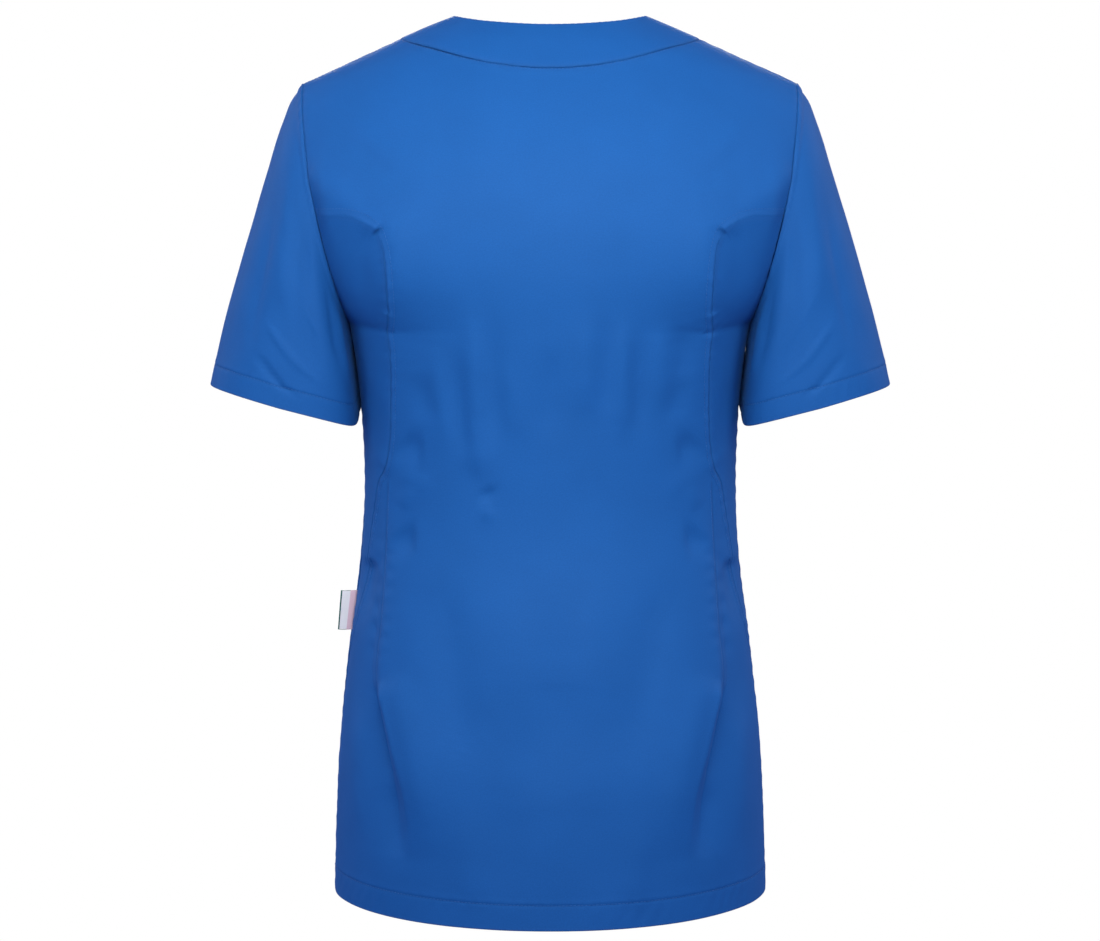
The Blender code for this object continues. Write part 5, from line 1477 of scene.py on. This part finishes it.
half = [side_low, princess.flipped(), arm_upper, shoulder_back.flipped(), neck_run.flipped()]
runs = [hem_run(BACK)] + half + [r.mirrored() for r in half[::-1]]
KINDS = {"side": "side", "princess": "princess stitched", "arm": "arm", "shoulder": "shoulder", "neck": "neck"}
panel("Back_centre", BACK, runs, tuck_features(), KINDS, cloth)
KINDS = {"side": "side", "princess": "princess", "arm": "arm"}
runs = [side_high, arm_lower, princess]
panel("Side_back_left", BACK, runs, [], KINDS, cloth)
panel("Side_back_right", BACK, [r.mirrored() for r in runs[::-1]], [], KINDS, cloth)
half = [side_run(FRONT, SIDE_SEAM["z"][0], UNDERARM), arm_run(FRONT, 180.0, 0.0), shoulder_front.flipped(), vee_run.flipped()]
runs = [hem_run(FRONT)] + half + [r.mirrored() for r in half[::-1]]
KINDS = {"side": "side", "arm": "arm", "shoulder": "shoulder", "vee": "neck"}
panel("Front", FRONT, runs, [], KINDS, cloth)
sleeve_piece("Sleeve_left", 1, cloth)
sleeve_piece("Sleeve_right", -1, cloth)
band_piece("Neckband", cloth)

# ---- Rows of stitches ----
def both_halves(piece_right, piece_left, face, run, distance, lo=0.0, hi=1.0):
    return [
        stitch_line(piece_left, face, run, distance, lo, hi),
        stitch_line(piece_right, face, run.mirrored(), distance, 1 - hi, 1 - lo),
    ]


def cuff_line(name, side):
    """The stitches of a sleeve's hem, all round from under the arm."""
    turns = np.linspace(181.0, 539.0, 144)
    fine = np.linspace(0, 1, 41)
    grid = sleeve(fine[:, None] + turns[None] * 0, turns[None] + fine[:, None] * 0)
    run = np.concatenate([np.zeros((1, len(turns))), np.cumsum(np.linalg.norm(np.diff(grid, axis=0), axis=-1), axis=0)])
    along = np.array([np.interp(run[-1, i] - CUFF_DEEP, run[:, i], fine) for i in range(len(turns))])
    return on_piece(name, sleeve(along, turns) * (side, 1, 1))


def tuck_line(side):
    """The stitches beside the folded edge of a tuck."""
    zs = np.linspace(TUCK["z"][0] - 4, TUCK["z"][3], 60)
    xs = smooth(zs, TUCK["z"][::-1], TUCK["x"][::-1]) - 1.9
    at = place(BACK, (0, 2), np.stack([xs, zs], 1), (0.75, 250.0))
    return on_piece("Back_centre", body(BACK, at[:, 0] * side, at[:, 1]))


back_stitches = [stitch_line("Back_centre", BACK, hem_run(BACK), HEM_DEEP), tuck_line(1.0), tuck_line(-1.0)]
back_stitches += both_halves("Back_centre", "Back_centre", BACK, princess.flipped(), 5.0, 0.004, 0.996)
back_stitches += both_halves("Back_centre", "Back_centre", BACK, shoulder_back.flipped(), 5.0, 0.02, 0.98)
back_stitches += both_halves("Back_centre", "Back_centre", BACK, neck_run.flipped(), 1.6)
front_stitches = [stitch_line("Front", FRONT, hem_run(FRONT), HEM_DEEP)]
front_stitches += both_halves("Front", "Front", FRONT, vee_run.flipped(), 1.6)
stitching = {
    "Back_centre": stitches("Back_stitching", back_stitches, thread),
    "Front": stitches("Front_stitching", front_stitches, thread),
    "Sleeve_left": stitches("Sleeve_left_stitching", [cuff_line("Sleeve_left", 1)], thread),
    "Sleeve_right": stitches("Sleeve_right_stitching", [cuff_line("Sleeve_right", -1)], thread),
}

# ---- The side label: a short tape folded in half and caught in the side seam at the wearer's left ----
LABEL_TOP, LABEL_LOW = -438.6, -470.2
LABEL_OUT_TOP, LABEL_OUT_LOW = 167.2, 169.8
LABEL_PLY, LABEL_GAP = 0.30, 0.16
LABEL_EDGE, LABEL_STRIP = 0.8, 5.2  # the dark woven edge at the fold, and the pale strip beside the seam


def label_piece(name):
    far, near_ = LABEL_GAP / 2 + LABEL_PLY, LABEL_GAP / 2
    zs = np.concatenate([[LABEL_TOP, LABEL_TOP - 0.35], np.linspace(LABEL_TOP - 1.5, LABEL_LOW + 1.5, 17), [LABEL_LOW + 0.35, LABEL_LOW]])
    down = (LABEL_TOP - zs) / (LABEL_TOP - LABEL_LOW)
    fold = LABEL_OUT_TOP + (LABEL_OUT_LOW - LABEL_OUT_TOP) * down - far
    root = smooth(zs, SIDE_SEAM["z"], SIDE_SEAM["half_wide"]) - 0.8
    wide = float((fold - root).mean())
    shares = np.array([0.0, 0.15, LABEL_STRIP / wide, LABEL_STRIP / wide + 0.12, 0.66, 0.82, 1 - LABEL_EDGE / wide])
    turns = np.radians(np.linspace(90, -90, 9))
    profile = [(s_, 0.0, 1.0) for s_ in shares] + [(1.0, math.cos(t), math.sin(t)) for t in turns] + [(s_, 0.0, -1.0) for s_ in shares[::-1]]
    out = np.array([p[0] for p in profile])
    skins = []
    for half in (far, near_):
        grid = np.empty((len(zs), len(profile), 3))
        for j, (s_, c, v) in enumerate(profile):
            grid[:, j, 0] = root + (fold - root) * s_ + c * half
            grid[:, j, 1] = v * half
        curl = out[None] ** 2 * (1.3 * np.sin(down * 3.4 + 0.5) - 0.3)[:, None] + 0.12 * np.sin(out * 9.0)[None] * np.cos(down * 5.0)[:, None]
        grid[..., 1] += curl
        grid[..., 2] = zs[:, None] - 0.25 * np.sin(out * 2.4)[None]
        skins.append(grid.reshape(-1, 3))
    rows_, cols = len(zs), len(profile)
    count = rows_ * cols
    faces, which = [], []
    for i in range(rows_ - 1):
        for j in range(cols - 1):
            a = i * cols + j
            faces.append((a, a + 1, a + cols + 1, a + cols))
            strip = max(profile[j][0], profile[j + 1][0]) <= LABEL_STRIP / wide + 1e-6
            line = min(profile[j][0], profile[j + 1][0]) >= 1 - LABEL_EDGE / wide - 1e-6 or i in (0, rows_ - 2) and not strip
            which.append(1 if line else 2 if strip else 0)
            faces.append((a + count, a + cols + count, a + cols + 1 + count, a + 1 + count))
            which.append(0)
    for j in range(cols - 1):
        a, b = j, (rows_ - 1) * cols + j
        faces += [(a, a + count, a + 1 + count, a + 1), (b, b + 1, b + 1 + count, b + count)]
        which += [0, 0]
    for i in range(rows_ - 1):
        a, b = i * cols, i * cols + cols - 1
        faces += [(a, a + cols, a + cols + count, a + count), (b, b + count, b + cols + count, b + cols)]
        which += [0, 0]
    obj = mesh_object(name, np.vstack(skins), faces, tape)
    obj.data.materials.append(tape_line)
    obj.data.materials.append(tape_strip)
    obj.data.polygons.foreach_set("material_index", np.array(which, np.int32))
    bm_ = bmesh.new()
    bm_.from_mesh(obj.data)
    bmesh.ops.recalc_face_normals(bm_, faces=bm_.faces)
    bm_.to_mesh(obj.data)
    bm_.free()
    return obj


label = label_piece("Side_label")

# ---- Riding on the root body, with the imported parts they replace hidden ----
for node_name, piece in {
    "back_centre": "Back_centre", "side_back_left": "Side_back_left", "side_back_right": "Side_back_right",
    "front": "Front", "sleeve_left": "Sleeve_left", "sleeve_right": "Sleeve_right", "neckband": "Neckband",
}.items():
    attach(cloth_pieces[piece], "root")
    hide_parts(node_name)
for o in stitching.values():
    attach(o, "root")
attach(label, "root")
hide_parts("side_label")

# ---- Floor, light and camera ----
def emitter(name, colour, strength):
    material = bpy.data.materials.new(name)
    material.use_nodes = True
    tree = material.node_tree
    tree.nodes.clear()
    out = tree.nodes.new("ShaderNodeOutputMaterial")
    light = tree.nodes.new("ShaderNodeEmission")
    light.inputs["Color"].default_value = (*colour, 1)
    light.inputs["Strength"].default_value = strength
    tree.links.new(light.outputs[0], out.inputs["Surface"])
    return material


bm = bmesh.new()
bmesh.ops.create_uvsphere(bm, u_segments=48, v_segments=24, radius=9.0)
mesh = bpy.data.meshes.new("backdrop")
bm.to_mesh(mesh)
bm.free()
mesh.materials.append(emitter("backdrop_white", (1, 1, 1), 1.0))
backdrop = bpy.data.objects.new("backdrop", mesh)
bpy.context.scene.collection.objects.link(backdrop)
backdrop.visible_diffuse = backdrop.visible_glossy = backdrop.visible_transmission = backdrop.visible_shadow = False
bm = bmesh.new()
bmesh.ops.create_circle(bm, cap_ends=True, segments=96, radius=3.5)
mesh = bpy.data.meshes.new("floor")
bm.to_mesh(mesh)
bm.free()
floor_material, _, floor_shader = new_material("floor_pale")
floor_shader.inputs["Base Color"].default_value = (0.92, 0.80, 0.52, 1)
floor_shader.inputs["Roughness"].default_value = 0.9
floor_shader.inputs["Emission Color"].default_value = (1, 0.99, 0.97, 1)
floor_shader.inputs["Emission Strength"].default_value = 0.45
mesh.materials.append(floor_material)
floor = bpy.data.objects.new("floor", mesh)
floor.location = (0, 0, -1.4)
floor.visible_diffuse = floor.visible_glossy = False
bpy.context.scene.collection.objects.link(floor)

world = bpy.data.worlds.new("studio")
world.use_nodes = True
world.node_tree.nodes["Background"].inputs["Color"].default_value = (0.34, 0.40, 1.0, 1)
world.node_tree.nodes["Background"].inputs["Strength"].default_value = 0.40
bpy.context.scene.world = world


def area_light(name, place_, aim, size, power, colour):
    data = bpy.data.lights.new(name, "AREA")
    data.shape = "RECTANGLE"
    data.size, data.size_y = size
    data.energy = power
    data.color = colour
    lamp = bpy.data.objects.new(name, data)
    lamp.location = place_
    lamp.rotation_mode = "QUATERNION"
    lamp.rotation_quaternion = (Vector(aim) - Vector(place_)).to_track_quat("-Z", "Y")
    bpy.context.scene.collection.objects.link(lamp)
    lamp.visible_camera = False
    return lamp


for side in (1.0, -1.0):  # the same lights behind and in front
    area_light("near_high", (0.0, 1.0 * side, 0.2), (0, 0, -0.3), (0.9, 0.4), 10.0, (1, 1, 1))
    area_light("far_low", (0.0, 2.9 * side, -0.95), (0, 0, -0.3), (1.4, 0.6), 2.5, (1, 1, 1))
    area_light("left", (2.2, 1.4 * side, 1.0), (0, 0, -0.3), (1.0, 1.2), 19.0, (1, 1, 1))
    area_light("right", (-2.2, 1.4 * side, 1.0), (0, 0, -0.3), (1.0, 1.2), 19.0, (1, 1, 1))

camera_data = bpy.data.cameras.new("camera")
camera_data.lens, camera_data.sensor_width = 131.2, 36.0
camera = bpy.data.objects.new("camera", camera_data)
camera.location = (0.0, 3.2, -0.21)
camera.rotation_mode = "QUATERNION"
camera.rotation_quaternion = (Vector((0, 0, -0.3430)) - camera.location).to_track_quat("-Z", "Y")
bpy.context.scene.collection.objects.link(camera)
bpy.context.scene.camera = camera
bpy.context.scene.view_settings.view_transform = "Standard"
